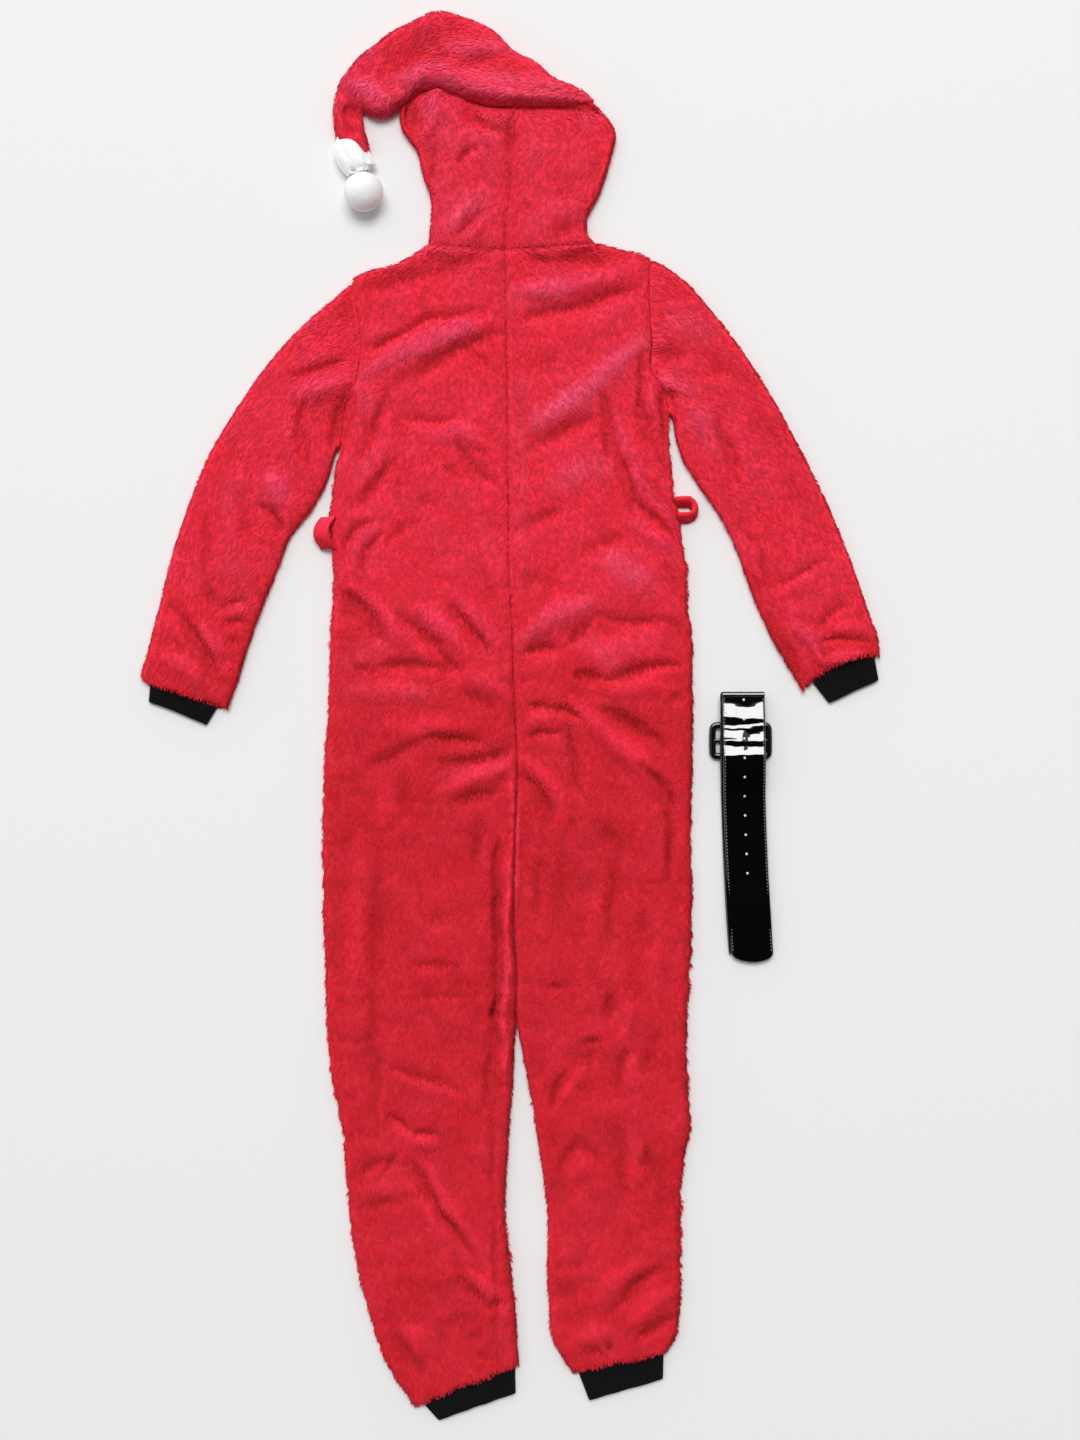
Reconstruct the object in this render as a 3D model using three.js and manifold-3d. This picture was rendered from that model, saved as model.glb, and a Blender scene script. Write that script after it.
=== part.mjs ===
// Hooded one-piece pajamas of red plush with rib-knit cuffs, laid face down, and their belt folded beside them.
// Millimetres. +X is the wearer's right, +Y goes from the feet to the hood, +Z is up from the surface.
// The origin is on that surface, under the middle of the whole.

import * as THREE from 'three';
import { mergeVertices } from 'three/addons/utils/BufferGeometryUtils.js';
import Module from 'manifold-3d';

// ---------- driving dimensions ----------

const PLUSH = 4; // thickness of the plush cloth, ground and pile
const SEAM_GAP = 0.3; // space between two pieces at a seam
const HEM_GAP = 0.5; // the same at a hem, where one piece is bowed
const BODY_HEIGHT = 10; // two layers of plush with a little air between
const BODY_EDGE = 5.8; // height of the back panel's rim, above the side seam
const ROUNDING = 9; // how far in from an outer edge the top rounds over
const SEAM_DIP = 1.3; // how deep a sewn edge sinks
const LEG_DIP = 3.2; // how deep the valley is where the two legs touch
const FRONT_INSET = 3; // the fronts tuck under the backs by this much
const FRONT_LIP = { top: 0.4, bottom: 1.2 }; // how a front panel thins at its long edges
const FOLD_FADE = { side: 27, inner: 18 }; // how far from a back panel's edges its folds are full
const ROW_STEP = 36; // longest distance between two rows of a back panel
const DEEPEST_FOLD = -3.6;

const SLEEVE_HEIGHT = 10;
const HOOD_HEIGHT = 12;
const HOOD_FACE = 30; // half the width of the face opening, on the underside
const POINT_RIM = 6; // how high the rounded sides of the folded point begin
const POINT_ROUNDING = 14;
const ROLL = { at: 0.8, spread: 0.14, hollowAt: 0.5, hollow: 0.6 }; // the point's roll and the dip beside it

const RIB = 2.4; // thickness of the rib knit
const RIB_RAISE = 0.5;
const CUFF_HEIGHT = 6.4;

const POMPOM = { x: -177, y: 627, radius: 24, sink: 1.5, arcs: 9, around: 20 };

const ZIP = { half: 4, thickness: 3.2, top: 545, bottom: -67 };
const SLIDER = { length: 13, thickness: 3.8, crown: 1 };

const BELT = { thickness: 2.2, half: 26.5, top: 28, x: 276.3, lean: 1.15e-4 };
const HOLES = { count: 10, first: 18.8, pitch: 23.1, radius: 2.3, depth: 3.2 };
const BUCKLE = { x: 275, y: -30.3, width: 75, height: 45, side: 8, depth: 4, bottom: 3.4, corner: 9, bevel: 1 };
const BAR_WIDTH = 5;
const BAR_SLOT = { width: 7, length: 18, depth: 12, ahead: 1.4, z: 5.6 }; // lets the prong through the strap
const PRONG_RADIUS = 1.4;

const COLOURS = {
  plush: { color: 0xd8283f, roughness: 0.95, metalness: 0 },
  white: { color: 0xf3f1f2, roughness: 0.95, metalness: 0 },
  rib: { color: 0x141416, roughness: 0.9, metalness: 0 },
  patent: { color: 0x08080a, roughness: 0.12, metalness: 0 },
  buckle: { color: 0x0c0c0e, roughness: 0.2, metalness: 0 },
  zip: { color: 0xb02030, roughness: 0.6, metalness: 0 },
};

// ---------- tables: a row for each section or fold ----------

function table(names, rows) {
  const columns = names.split(' ');
  return rows.map((row) => Object.fromEntries(columns.map((name, i) => [name, row[i]])));
}

// Sections across the body, neck to ankles: the two outer ends and the two inner ends of each.
const BODY = table('leftX leftY innerLX innerLY innerRX innerRY rightX rightY', [
  [-97, 565, -8, 559, -8, 559, 97, 566],
  [-138, 544, -8, 542, -8, 542, 132, 559],
  [-191, 518, -7, 522, -7, 522, 165, 546],
  [-187, 496, -7, 500, -7, 500, 165, 524],
  [-182, 463, -6, 468, -6, 468, 166, 481],
  [-181, 433, -6, 438, -6, 438, 168, 447],
  [-188, 400, -5, 407, -5, 407, 167, 414],
  [-201, 374, -5, 382, -5, 382, 180, 394],
  [-204, 346, -5, 358, -5, 358, 186, 379],
  [-205, 322, -5, 336, -5, 336, 188, 362],
  [-211, 290, -5, 303, -5, 303, 190, 319],
  [-214, 262, -4, 264, -4, 264, 194, 272],
  [-217, 236, -4, 235, -4, 235, 200, 236],
  [-215, 200, -4, 200, -4, 200, 205, 205],
  [-213, 170, -3, 168, -3, 168, 210, 176],
  [-216, 118, 0, 118, 0, 118, 211, 132],
  [-218, 66, 2, 66, 2, 66, 216, 84],
  [-219, 14, 4, 16, 4, 16, 217, 26],
  [-222, -34, 6, -34, 6, -34, 217, -28],
  [-224, -74, 7, -68, 7, -68, 216, -74],
  [-226, -131, 5, -131, 5, -131, 215, -131],
  [-225, -200, 3, -198, 3, -198, 216, -198],
  [-225, -245, 3, -255, 3, -255, 216, -245],
  [-223, -300, 6, -308, 6, -308, 214, -300],
  [-221, -360, 6, -358, 6, -358, 211, -364],
  [-219, -402, 3, -398, 13, -400, 210, -410],
  [-213, -446, 1, -442, 22, -445, 212, -456],
  [-203, -494, -3, -490, 30, -493, 214, -492],
  [-198, -549, -6, -541, 38, -545, 206, -540],
  [-193, -610, -8, -600, 44, -600, 202, -595],
  [-181, -674, -2, -655, 44, -660, 203, -660],
  [-169, -719, 3, -704, 46, -710, 201, -712],
  [-151, -773, 6, -746, 53, -754, 196, -746],
  [-117, -827, 8, -779, 74, -788, 185, -763],
]);
const ARMHOLE_TOP = 2; // rows of the body where the armhole begins and ends
const ARMPIT = 9;
const CROTCH = 19;
const LEGS_PART = 24;

// Sections across each sleeve from the armhole to the hem; bow bends a section towards the armhole.
const SLEEVE_LEFT = table('outerX outerY underX underY bow', [
  [-209, 502, -212, 315, 0],
  [-232, 483, -217, 300, 0],
  [-255, 462, -222, 283, 0],
  [-291, 422, -233, 260, 0],
  [-313, 392, -243, 245, 0],
  [-334, 360, -255, 230, 0],
  [-360, 316, -268, 211, 0],
  [-385, 256, -279, 182, 0],
  [-406, 193, -295, 143, 0],
  [-424, 122, -310, 103, 0],
  [-437, 70, -321, 70, 0],
  [-443, 47, -331, 37, 0],
  [-437, 39, -341, 10, 0],
]);
const SLEEVE_RIGHT = table('outerX outerY underX underY bow', [
  [183, 538, 194, 356, 0],
  [209, 519, 199, 331, 0],
  [239, 485, 207, 307, 0],
  [258, 461, 221, 283, 0],
  [277, 436, 232, 267, 0],
  [297, 405, 244, 250, 0],
  [315, 376, 256, 231, 0],
  [345, 320, 272, 196, 0],
  [375, 260, 283, 165, 0],
  [412, 170, 303, 115, 2],
  [427, 125, 318, 85, 4],
  [439, 92, 336, 54, 7],
  [441, 73, 349, 32, 10],
]);

// Sections across each hood half, neck upwards: its outer side and the centre seam.
const HOOD = table('leftX leftY seamX seamY rightX rightY', [
  [-98, 565.4, -8, 559.4, 98, 566.4],
  [-96, 594, -6, 592, 90, 580],
  [-95, 616, -3, 616, 90, 597],
  [-104, 646, 0, 646, 106, 629],
  [-113, 677, 1, 674, 119, 671],
  [-130, 703, 2, 706, 122, 704],
  [-132, 726, 3, 734, 98, 733],
]);

// Sections across the folded-over point, from its root on the right to the tip of the tail.
const POINT = table('outerX outerY innerX innerY height roll', [
  [99, 738, 96, 734.5, 13, 0],
  [82, 750, 70, 734, 19, 1],
  [50, 764, 35, 735.5, 21, 2],
  [29, 782, 3, 735.5, 21, 3],
  [2, 796, -24, 735, 21, 4],
  [-20, 818, -45, 736, 21, 5],
  [-39, 829, -66, 737, 21, 6],
  [-64, 838, -86, 737, 21, 6],
  [-88, 843, -106, 736, 21, 5],
  [-122, 829, -132, 730, 20, 3],
  [-144, 818, -146, 719, 20, 2],
  [-163, 803, -160, 717, 20, 2],
  [-180, 790, -169, 720, 19, 1],
  [-195, 773, -175, 724, 18, 0],
  [-206, 757, -179, 720, 17, 0],
  [-212, 734, -179, 713, 17, 0],
  [-213, 715, -177, 700, 17, 0],
  [-211, 698, -173, 687, 17, 0],
  [-207, 687, -171, 675, 16, 0],
]);

// Folds: a line, how far its flank spreads, and how much it lifts (or, below zero, sinks) the cloth.
const FOLDS = table('fromX fromY toX toY width lift', [
  [-40, 485, -157, 429, 13, -3],
  [-25, 470, -167, 410, 15, 3],
  [-171, 496, -100, 530, 12, -2],
  [67, 493, 127, 512, 14, -2.5],
  [26, 350, 149, 446, 26, 3.5],
  [109, 373, 196, 222, 12, -3.5],
  [135, 365, 178, 262, 12, 3],
  [-197, 134, -158, 94, 12, -2.5],
  [-146, 58, -63, 56, 14, -3],
  [-150, 82, -70, 80, 16, 2.5],
  [15, 80, 57, 92, 12, -2.5],
  [71, 74, 116, 44, 14, -3],
  [116, 44, 196, 62, 14, -3],
  [63, -4, 84, -78, 13, -2.5],
  [-101, -16, -33, -40, 14, -3],
  [-79, -76, -3, -64, 15, 3],
  [-13, -131, -20, -230, 12, -3],
  [-20, -230, -29, -410, 12, -3],
  [-125, -518, -70, -608, 14, -3.5],
  [-70, -608, -48, -646, 14, -3],
  [-145, -555, -184, -589, 13, -2.5],
  [-64, -665, -28, -707, 13, -3],
  [135, -711, 169, -680, 13, -3],
  [92, -496, 70, -549, 18, 2.5],
  [-388, 92, -352, 38, 13, -3],
  [-318, 268, -268, 224, 16, -2],
  [-352, 248, -296, 170, 16, 2],
  [262, 262, 316, 204, 16, 2],
  [300, 150, 345, 122, 14, -2.5],
  [-62, 668, -32, 712, 13, -2.5],
  [-76, 582, -40, 600, 12, -2],
]);

// ---------- geometry helpers ----------

const mix = (a, b, t) => a + (b - a) * t;
const mixPoint = (a, b, t) => [mix(a[0], b[0], t), mix(a[1], b[1], t)];
const distance = (a, b) => Math.hypot(a[0] - b[0], a[1] - b[1]);

// How the top rises from an outer edge: 0 on the edge, 1 from the rounding inwards.
function rounded(inset, radius = ROUNDING) {
  const t = Math.min(inset / radius, 1);
  return Math.sqrt(1 - (1 - t) ** 2);
}

// Height that the folds add at a place.
function foldLift(x, y) {
  let lift = 0;
  for (const fold of FOLDS) {
    const run = [fold.toX - fold.fromX, fold.toY - fold.fromY];
    const along = ((x - fold.fromX) * run[0] + (y - fold.fromY) * run[1]) / (run[0] ** 2 + run[1] ** 2);
    const foot = mixPoint([fold.fromX, fold.fromY], [fold.toX, fold.toY], THREE.MathUtils.clamp(along, 0, 1));
    lift += fold.lift * Math.exp(-((distance([x, y], foot) / fold.width) ** 2));
  }
  return Math.max(lift, DEEPEST_FOLD);
}

// A wall with one grid of points on its outer face and one on its inner face, closed round the borders.
// A ring has no first and last column: its columns run all the way round.
function wallGeometry(rows, columns, outerAt, innerAt, ring = false) {
  const positions = [];
  for (const at of [outerAt, innerAt]) {
    for (let row = 0; row < rows; row++) {
      for (let column = 0; column < columns; column++) positions.push(...at(row, column));
    }
  }
  const inside = rows * columns;
  const index = [];
  const quad = (a, b, c, d) => index.push(a, b, c, a, c, d);
  const spans = ring ? columns : columns - 1;
  for (let row = 0; row < rows - 1; row++) {
    for (let column = 0; column < spans; column++) {
      const next = (column + 1) % columns;
      const [a, b] = [row * columns + column, row * columns + next];
      const [c, d] = [b + columns, a + columns];
      quad(a, b, c, d);
      quad(inside + d, inside + c, inside + b, inside + a);
    }
  }
  const last = (rows - 1) * columns;
  for (let column = 0; column < spans; column++) {
    const next = (column + 1) % columns;
    quad(next, column, inside + column, inside + next);
    quad(last + column, last + next, inside + last + next, inside + last + column);
  }
  for (let row = 0; row < rows - 1 && !ring; row++) {
    const [a, d] = [row * columns, (row + 1) * columns];
    const [b, c] = [a + columns - 1, d + columns - 1];
    quad(a, d, inside + d, inside + a);
    quad(c, b, inside + b, inside + c);
  }
  return facingOut(new THREE.BufferGeometry(), positions, index);
}

// A solid through closed rings of points, with a flat fan on each end.
function loftGeometry(rings) {
  const around = rings[0].length;
  const positions = rings.flat(2);
  const index = [];
  for (let row = 0; row < rings.length - 1; row++) {
    for (let column = 0; column < around; column++) {
      const next = (column + 1) % around;
      const [a, b] = [row * around + column, row * around + next];
      index.push(a, b, b + around, a, b + around, a + around);
    }
  }
  for (const row of [0, rings.length - 1]) {
    const hub = positions.length / 3;
    for (const axis of [0, 1, 2]) {
      positions.push(rings[row].reduce((sum, point) => sum + point[axis], 0) / around);
    }
    for (let column = 0; column < around; column++) {
      const [a, b] = [row * around + column, row * around + ((column + 1) % around)];
      index.push(...(row === 0 ? [b, a, hub] : [a, b, hub]));
    }
  }
  return facingOut(new THREE.BufferGeometry(), positions, index);
}

// Sets the faces so that they point out of the solid.
function facingOut(geometry, positions, index) {
  let volume = 0;
  const corner = (i) => new THREE.Vector3().fromArray(positions, index[i] * 3);
  for (let i = 0; i < index.length; i += 3) {
    volume += corner(i).dot(corner(i + 1).cross(corner(i + 2)));
  }
  if (volume < 0) index.reverse();
  geometry.setAttribute('position', new THREE.Float32BufferAttribute(positions, 3));
  geometry.setIndex(index);
  geometry.computeVertexNormals();
  return geometry;
}

// ---------- booleans ----------

const wasm = await Module();
wasm.setup();

function toSolid(geometry) {
  const bare = geometry.clone();
  bare.deleteAttribute('normal');
  bare.deleteAttribute('uv');
  const merged = mergeVertices(bare, 1e-4);
  const mesh = new wasm.Mesh({
    numProp: 3,
    vertProperties: new Float32Array(merged.attributes.position.array),
    triVerts: new Uint32Array(merged.index.array),
  });
  return new wasm.Manifold(mesh);
}

function toGeometry(solid) {
  const mesh = solid.getMesh();
  const geometry = new THREE.BufferGeometry();
  geometry.setAttribute('position', new THREE.BufferAttribute(mesh.vertProperties, 3));
  geometry.setIndex(new THREE.BufferAttribute(mesh.triVerts, 1));
  geometry.computeVertexNormals();
  return geometry;
}

function cut(geometry, tools) {
  let solid = toSolid(geometry);
  for (const tool of tools) solid = solid.subtract(toSolid(tool));
  return toGeometry(solid);
}

// ---------- body ----------

// The table's rows for one half, as ends, with more rows put in where two lie far apart.
function bodyRows(half, step) {
  const ends = BODY.map((row) =>
    half === 'left'
      ? { side: [row.leftX, row.leftY], inner: [row.innerLX, row.innerLY] }
      : { side: [row.rightX, row.rightY], inner: [row.innerRX, row.innerRY] },
  );
  const rows = [];
  ends.forEach((end, i) => {
    rows.push({ ...end, at: i });
    if (i === ends.length - 1) return;
    const gap = Math.abs(BODY[i + 1].leftY - BODY[i].leftY);
    const parts = Math.max(1, Math.ceil(gap / step));
    for (let part = 1; part < parts; part++) {
      const t = part / parts;
      rows.push({
        side: mixPoint(end.side, ends[i + 1].side, t),
        inner: mixPoint(end.inner, ends[i + 1].inner, t),
        at: i + t,
      });
    }
  });
  return rows;
}

// How far the top sinks along a row's two ends: a sewn edge dips, an outer edge rounds right down.
function sideDrop(at) {
  const sewn = at >= ARMHOLE_TOP && at <= ARMPIT;
  return sewn ? SEAM_DIP : BODY_HEIGHT - BODY_EDGE;
}

function innerDrop(at) {
  if (at <= CROTCH) return SEAM_DIP;
  return at <= LEGS_PART ? LEG_DIP : BODY_HEIGHT - BODY_EDGE;
}

const BACK_COLUMNS = [0, 0.012, 0.05, 0.14, 0.28, 0.43, 0.58, 0.73, 0.87, 0.96, 1];

function backPanel(half) {
  const rows = bodyRows(half, ROW_STEP);
  const away = half === 'left' ? -1 : 1;
  const place = (row, column) => {
    const { side, inner } = rows[row];
    const seam = [inner[0] + (away * SEAM_GAP) / 2, inner[1]];
    return mixPoint(side, seam, BACK_COLUMNS[column]);
  };
  const top = (row, column) => {
    const { side, inner, at } = rows[row];
    const width = distance(side, inner);
    const fromSide = BACK_COLUMNS[column] * width;
    const [x, y] = place(row, column);
    const drop = sideDrop(at) * (1 - rounded(fromSide)) + innerDrop(at) * (1 - rounded(width - fromSide));
    const fade = rounded(fromSide, FOLD_FADE.side) * rounded(width - fromSide, FOLD_FADE.inner);
    const ends = row === 0 || row === rows.length - 1 ? SEAM_DIP : 0;
    return BODY_HEIGHT - Math.max(drop, ends) + foldLift(x, y) * fade;
  };
  const outerAt = (row, column) => [...place(row, column), top(row, column)];
  const innerAt = (row, column) => {
    const low = PLUSH + SEAM_GAP;
    return [...place(row, column), Math.max(low, top(row, column) - PLUSH)];
  };
  return wallGeometry(rows.length, BACK_COLUMNS.length, outerAt, innerAt);
}

function frontPanel(half) {
  const rows = bodyRows(half, Infinity);
  const ends = rows.map(({ side, inner, at }) => {
    const width = distance(side, inner);
    const sewn = at >= ARMHOLE_TOP && at <= ARMPIT;
    const closure = at <= CROTCH ? ZIP.half + SEAM_GAP : SEAM_GAP / 2;
    return {
      side: mixPoint(side, inner, (sewn ? 0 : FRONT_INSET) / width),
      inner: mixPoint(inner, side, (at > LEGS_PART ? FRONT_INSET : closure) / width),
    };
  });
  const columns = [0, 0.02, 0.98, 1];
  const place = (row, column) => mixPoint(ends[row].side, ends[row].inner, columns[column]);
  const lip = (column) => (column === 0 || column === columns.length - 1 ? 1 : 0);
  const outerAt = (row, column) => [...place(row, column), PLUSH - FRONT_LIP.top * lip(column)];
  const innerAt = (row, column) => [...place(row, column), FRONT_LIP.bottom * lip(column)];
  return wallGeometry(rows.length, columns.length, outerAt, innerAt);
}

function zipStrip() {
  const rows = BODY.slice(0, CROTCH + 1)
    .map((row) => [row.innerLX, row.innerLY])
    .filter(([, y]) => y < ZIP.top && y > ZIP.bottom);
  const middle = [[BODY[0].innerLX, ZIP.top], ...rows, [BODY[CROTCH].innerLX, ZIP.bottom]];
  const columns = [-ZIP.half, ZIP.half];
  const at = (z) => (row, column) => [middle[row][0] + columns[column], middle[row][1], z];
  return wallGeometry(middle.length, columns.length, at(ZIP.thickness), at(0));
}

function zipSlider() {
  const outline = new THREE.Shape();
  const [half, length] = [ZIP.half, SLIDER.length];
  outline.moveTo(-half, 0);
  outline.lineTo(half, 0);
  outline.lineTo(half, length - half);
  outline.quadraticCurveTo(half, length, 0, length);
  outline.quadraticCurveTo(-half, length, -half, length - half);
  const depth = SLIDER.thickness - SLIDER.crown;
  return new THREE.ExtrudeGeometry(outline, {
    depth,
    curveSegments: 4,
    bevelThickness: SLIDER.crown / 2,
    bevelSize: SLIDER.crown / 2,
    bevelOffset: -SLIDER.crown / 2,
    bevelSegments: 1,
  });
}

// ---------- tubes laid flat ----------

// A flat tube through sections, each a place function from its outer end (0) to its under end (1).
// Its sides are half circles as high as the tube; its top follows topAt.
function flatTube({ sections, stops, underStops = stops, height, wall, topAt, raise = () => 0 }) {
  const radius = height / 2;
  const arc = [0.25, 0.5, 0.75].map((turn) => turn * Math.PI);
  const ring = [
    ...stops.map((t) => ({ t, top: true })),
    ...arc.map((angle) => ({ t: 1, angle })),
    ...[...underStops].reverse().map((t) => ({ t, top: false })),
    ...[...arc].reverse().map((angle) => ({ t: 0, angle })),
  ];
  const pointAt = (depth) => (row, column) => {
    const { place, width } = sections[row];
    const step = ring[column];
    const edge = radius / width;
    if (step.angle !== undefined) {
      const reach = radius - depth;
      const outwards = (edge * (radius - reach * Math.sin(step.angle))) / radius;
      const t = step.t === 0 ? outwards : 1 - outwards;
      return [...place(t), radius + reach * Math.cos(step.angle)];
    }
    const t = mix(edge, 1 - edge, step.t);
    const [x, y] = place(t);
    if (!step.top) return [x, y, depth];
    const fade = Math.sin(Math.PI * step.t) ** 0.5;
    const crest = depth === 0 ? raise(column) : 0;
    return [x, y, Math.max(height - depth, height - depth + topAt(x, y) * fade) + crest];
  };
  return wallGeometry(sections.length, ring.length, pointAt(0), pointAt(wall), true);
}

// The armhole's edge on the body, from its top to the armpit, as shares of its length.
function armhole(half) {
  const points = BODY.slice(ARMHOLE_TOP, ARMPIT + 1).map((row) =>
    half === 'left' ? [row.leftX, row.leftY] : [row.rightX, row.rightY],
  );
  const lengths = [0];
  for (let i = 1; i < points.length; i++) lengths.push(lengths[i - 1] + distance(points[i - 1], points[i]));
  const total = lengths[lengths.length - 1];
  const shares = lengths.map((length) => length / total);
  const place = (t) => {
    let i = 1;
    while (i < shares.length - 1 && shares[i] < t) i++;
    const span = (t - shares[i - 1]) / (shares[i] - shares[i - 1]);
    return mixPoint(points[i - 1], points[i], THREE.MathUtils.clamp(span, 0, 1));
  };
  return { shares, place, total };
}

function straightSection(outer, under, bow, away) {
  const width = distance(outer, under);
  const normal = [(under[1] - outer[1]) / width, (outer[0] - under[0]) / width];
  const place = (t) => {
    const [x, y] = mixPoint(outer, under, t);
    const bend = bow * 4 * t * (1 - t);
    return [x + away * normal[0] * bend, y + away * normal[1] * bend];
  };
  return { place, width };
}

// Sections of a sleeve after its armhole.
function sleeveSections(half) {
  const away = half === 'left' ? -1 : 1;
  const stations = half === 'left' ? SLEEVE_LEFT : SLEEVE_RIGHT;
  return stations.map((row) =>
    straightSection([row.outerX, row.outerY], [row.underX, row.underY], row.bow, away),
  );
}

function sleeve(half) {
  const away = half === 'left' ? -1 : 1;
  const hole = armhole(half);
  const first = {
    width: hole.total,
    place: (t) => {
      const [x, y] = hole.place(t);
      return [x + away * SEAM_GAP, y];
    },
  };
  const edge = SLEEVE_HEIGHT / 2 / hole.total;
  const stops = hole.shares.map((share) => THREE.MathUtils.clamp((share - edge) / (1 - 2 * edge), 0, 1));
  return flatTube({
    sections: [first, ...sleeveSections(half)],
    stops,
    height: SLEEVE_HEIGHT,
    wall: PLUSH,
    topAt: foldLift,
  });
}

// ---------- cuffs ----------

// The four cuffs: the stretch of the hem that each is sewn to, as shares of it, and the ends of its mouth.
const CUFFS = table('name limb half from to mouthAX mouthAY mouthBX mouthBY', [
  ['cuff_wrist_left', 'sleeve', 'left', 0.03, 0.89, -436, 17, -366, -11],
  ['cuff_wrist_right', 'sleeve', 'right', 0.05, 0.86, 441, 43, 381, 15],
  ['cuff_ankle_left', 'leg', 'left', 0.07, 0.97, -88, -846, 5, -813],
  ['cuff_ankle_right', 'leg', 'right', 0.02, 0.95, 182, -796, 93, -822],
]);
const RIBS = 12;

function hemSection(limb, half) {
  if (limb === 'sleeve') return sleeveSections(half).at(-1);
  const { side, inner } = bodyRows(half, Infinity).at(-1);
  return straightSection(side, inner, 0, 1);
}

function cuff({ limb, half, from, to, mouthAX, mouthAY, mouthBX, mouthBY }) {
  const hem = hemSection(limb, half);
  const mouth = straightSection([mouthAX, mouthAY], [mouthBX, mouthBY], 0, 1);
  const middle = hem.place(mix(from, to, 0.5));
  const length = distance(middle, mouth.place(0.5));
  const sewn = {
    width: hem.width * (to - from),
    place: (t) => {
      const [x, y] = hem.place(mix(from, to, t));
      const [mouthX, mouthY] = mouth.place(0.5);
      return [
        x + ((mouthX - middle[0]) / length) * HEM_GAP,
        y + ((mouthY - middle[1]) / length) * HEM_GAP,
      ];
    },
  };
  return flatTube({
    sections: [sewn, mouth],
    stops: Array.from({ length: 2 * RIBS + 1 }, (_, i) => i / (2 * RIBS)),
    underStops: [0, 0.5, 1],
    height: CUFF_HEIGHT,
    wall: RIB,
    topAt: () => 0,
    raise: (column) => (column % 2 === 1 ? RIB_RAISE : 0),
  });
}

// ---------- hood ----------

// Half of the hood: over the top from the centre seam, round its side and back under to the face edge.
function hoodHalf(half) {
  const away = half === 'left' ? -1 : 1;
  const radius = HOOD_HEIGHT / 2;
  const topStops = [1, 0.86, 0.66, 0.44, 0.22, 0];
  const arc = [0.2, 0.5, 0.8].map((turn) => turn * Math.PI);
  const underStops = [0, 0.5, 1];
  const path = [
    ...topStops.map((share) => ({ share, top: true })),
    ...arc.map((angle) => ({ angle })),
    ...underStops.map((share) => ({ share, top: false })),
  ];
  const pointAt = (depth) => (row, column) => {
    const section = HOOD[row];
    const side = half === 'left' ? [section.leftX, section.leftY] : [section.rightX, section.rightY];
    const seam = [section.seamX + (away * SEAM_GAP) / 2, section.seamY];
    const width = distance(side, seam);
    const step = path[column];
    if (step.angle !== undefined) {
      const reach = radius - depth;
      const inset = radius - reach * Math.sin(step.angle);
      return [...mixPoint(side, seam, inset / width), radius + reach * Math.cos(step.angle)];
    }
    const far = step.top ? width : width - HOOD_FACE;
    const [x, y] = mixPoint(side, seam, mix(radius, far, step.share) / width);
    if (!step.top) return [x, y, depth];
    const fade = Math.sin((Math.PI / 2) * Math.min(1, 1.4 * step.share));
    const dip = step.share === 1 ? SEAM_DIP : 0;
    return [x, y, HOOD_HEIGHT - depth - dip + foldLift(x, y) * fade];
  };
  return wallGeometry(HOOD.length, path.length, pointAt(0), pointAt(PLUSH));
}

// The folded-over point: one rounded solid with a roll along its lower edge.
function hoodPoint() {
  const columns = [0, 0.06, 0.18, 0.38, 0.58, 0.76, 0.9, 0.97, 1];
  const place = (row, column) => {
    const { outerX, outerY, innerX, innerY } = POINT[row];
    return mixPoint([outerX, outerY], [innerX, innerY], columns[column]);
  };
  const shape = (row, column) => {
    const { outerX, outerY, innerX, innerY, height, roll } = POINT[row];
    const width = distance([outerX, outerY], [innerX, innerY]);
    const inset = Math.min(columns[column], 1 - columns[column]) * width;
    const round = rounded(inset, Math.min(0.5 * width, POINT_ROUNDING));
    const crest = roll * Math.exp(-(((columns[column] - ROLL.at) / ROLL.spread) ** 2));
    const hollow = ROLL.hollow * roll * Math.exp(-(((columns[column] - ROLL.hollowAt) / ROLL.spread) ** 2));
    return { round, top: mix(POINT_RIM + 1, height + crest - hollow, round) };
  };
  const outerAt = (row, column) => [...place(row, column), shape(row, column).top];
  const innerAt = (row, column) => [...place(row, column), POINT_RIM * (1 - shape(row, column).round) ** 2];
  return wallGeometry(POINT.length, columns.length, outerAt, innerAt);
}

// ---------- pompom ----------

function pompomBall() {
  const { radius, sink, arcs, around } = POMPOM;
  const lowest = Math.asin(-(radius - sink) / radius);
  const profile = [new THREE.Vector2(0, 0)];
  for (let i = 0; i <= arcs; i++) {
    const angle = mix(lowest, Math.PI / 2, i / arcs);
    const reach = i === arcs ? 0 : radius * Math.cos(angle);
    profile.push(new THREE.Vector2(reach, radius - sink + radius * Math.sin(angle)));
  }
  const ball = new THREE.LatheGeometry(profile, around);
  ball.rotateX(Math.PI / 2);
  return ball;
}

// The gathered frill between the tail and the ball: its sections, with soft pleats round them.
const FRILL = table('x y acrossX acrossY halfWidth height', [
  [-189.1, 680.6, 0.949, -0.316, 20, 20],
  [-188.5, 668, 0.98, -0.2, 24, 24],
  [-186.5, 658, 1, 0, 23, 24],
  [-183.5, 650.2, 0.96, 0.27, 14, 20],
]);
const PLEATS = 7;
const PLEAT_SWELL = 1.08;

function pompomCollar() {
  const around = 2 * PLEATS;
  const rings = FRILL.map(({ x, y, acrossX, acrossY, halfWidth, height }) =>
    Array.from({ length: around }, (_, column) => {
      const angle = (column / around) * 2 * Math.PI;
      const pleat = column % 2 === 0 ? PLEAT_SWELL : 1;
      const across = halfWidth * pleat * Math.cos(angle);
      return [x + acrossX * across, y + acrossY * across, (height / 2) * (1 + Math.sin(angle))];
    }),
  );
  return loftGeometry(rings);
}

// ---------- belt loops ----------

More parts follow.
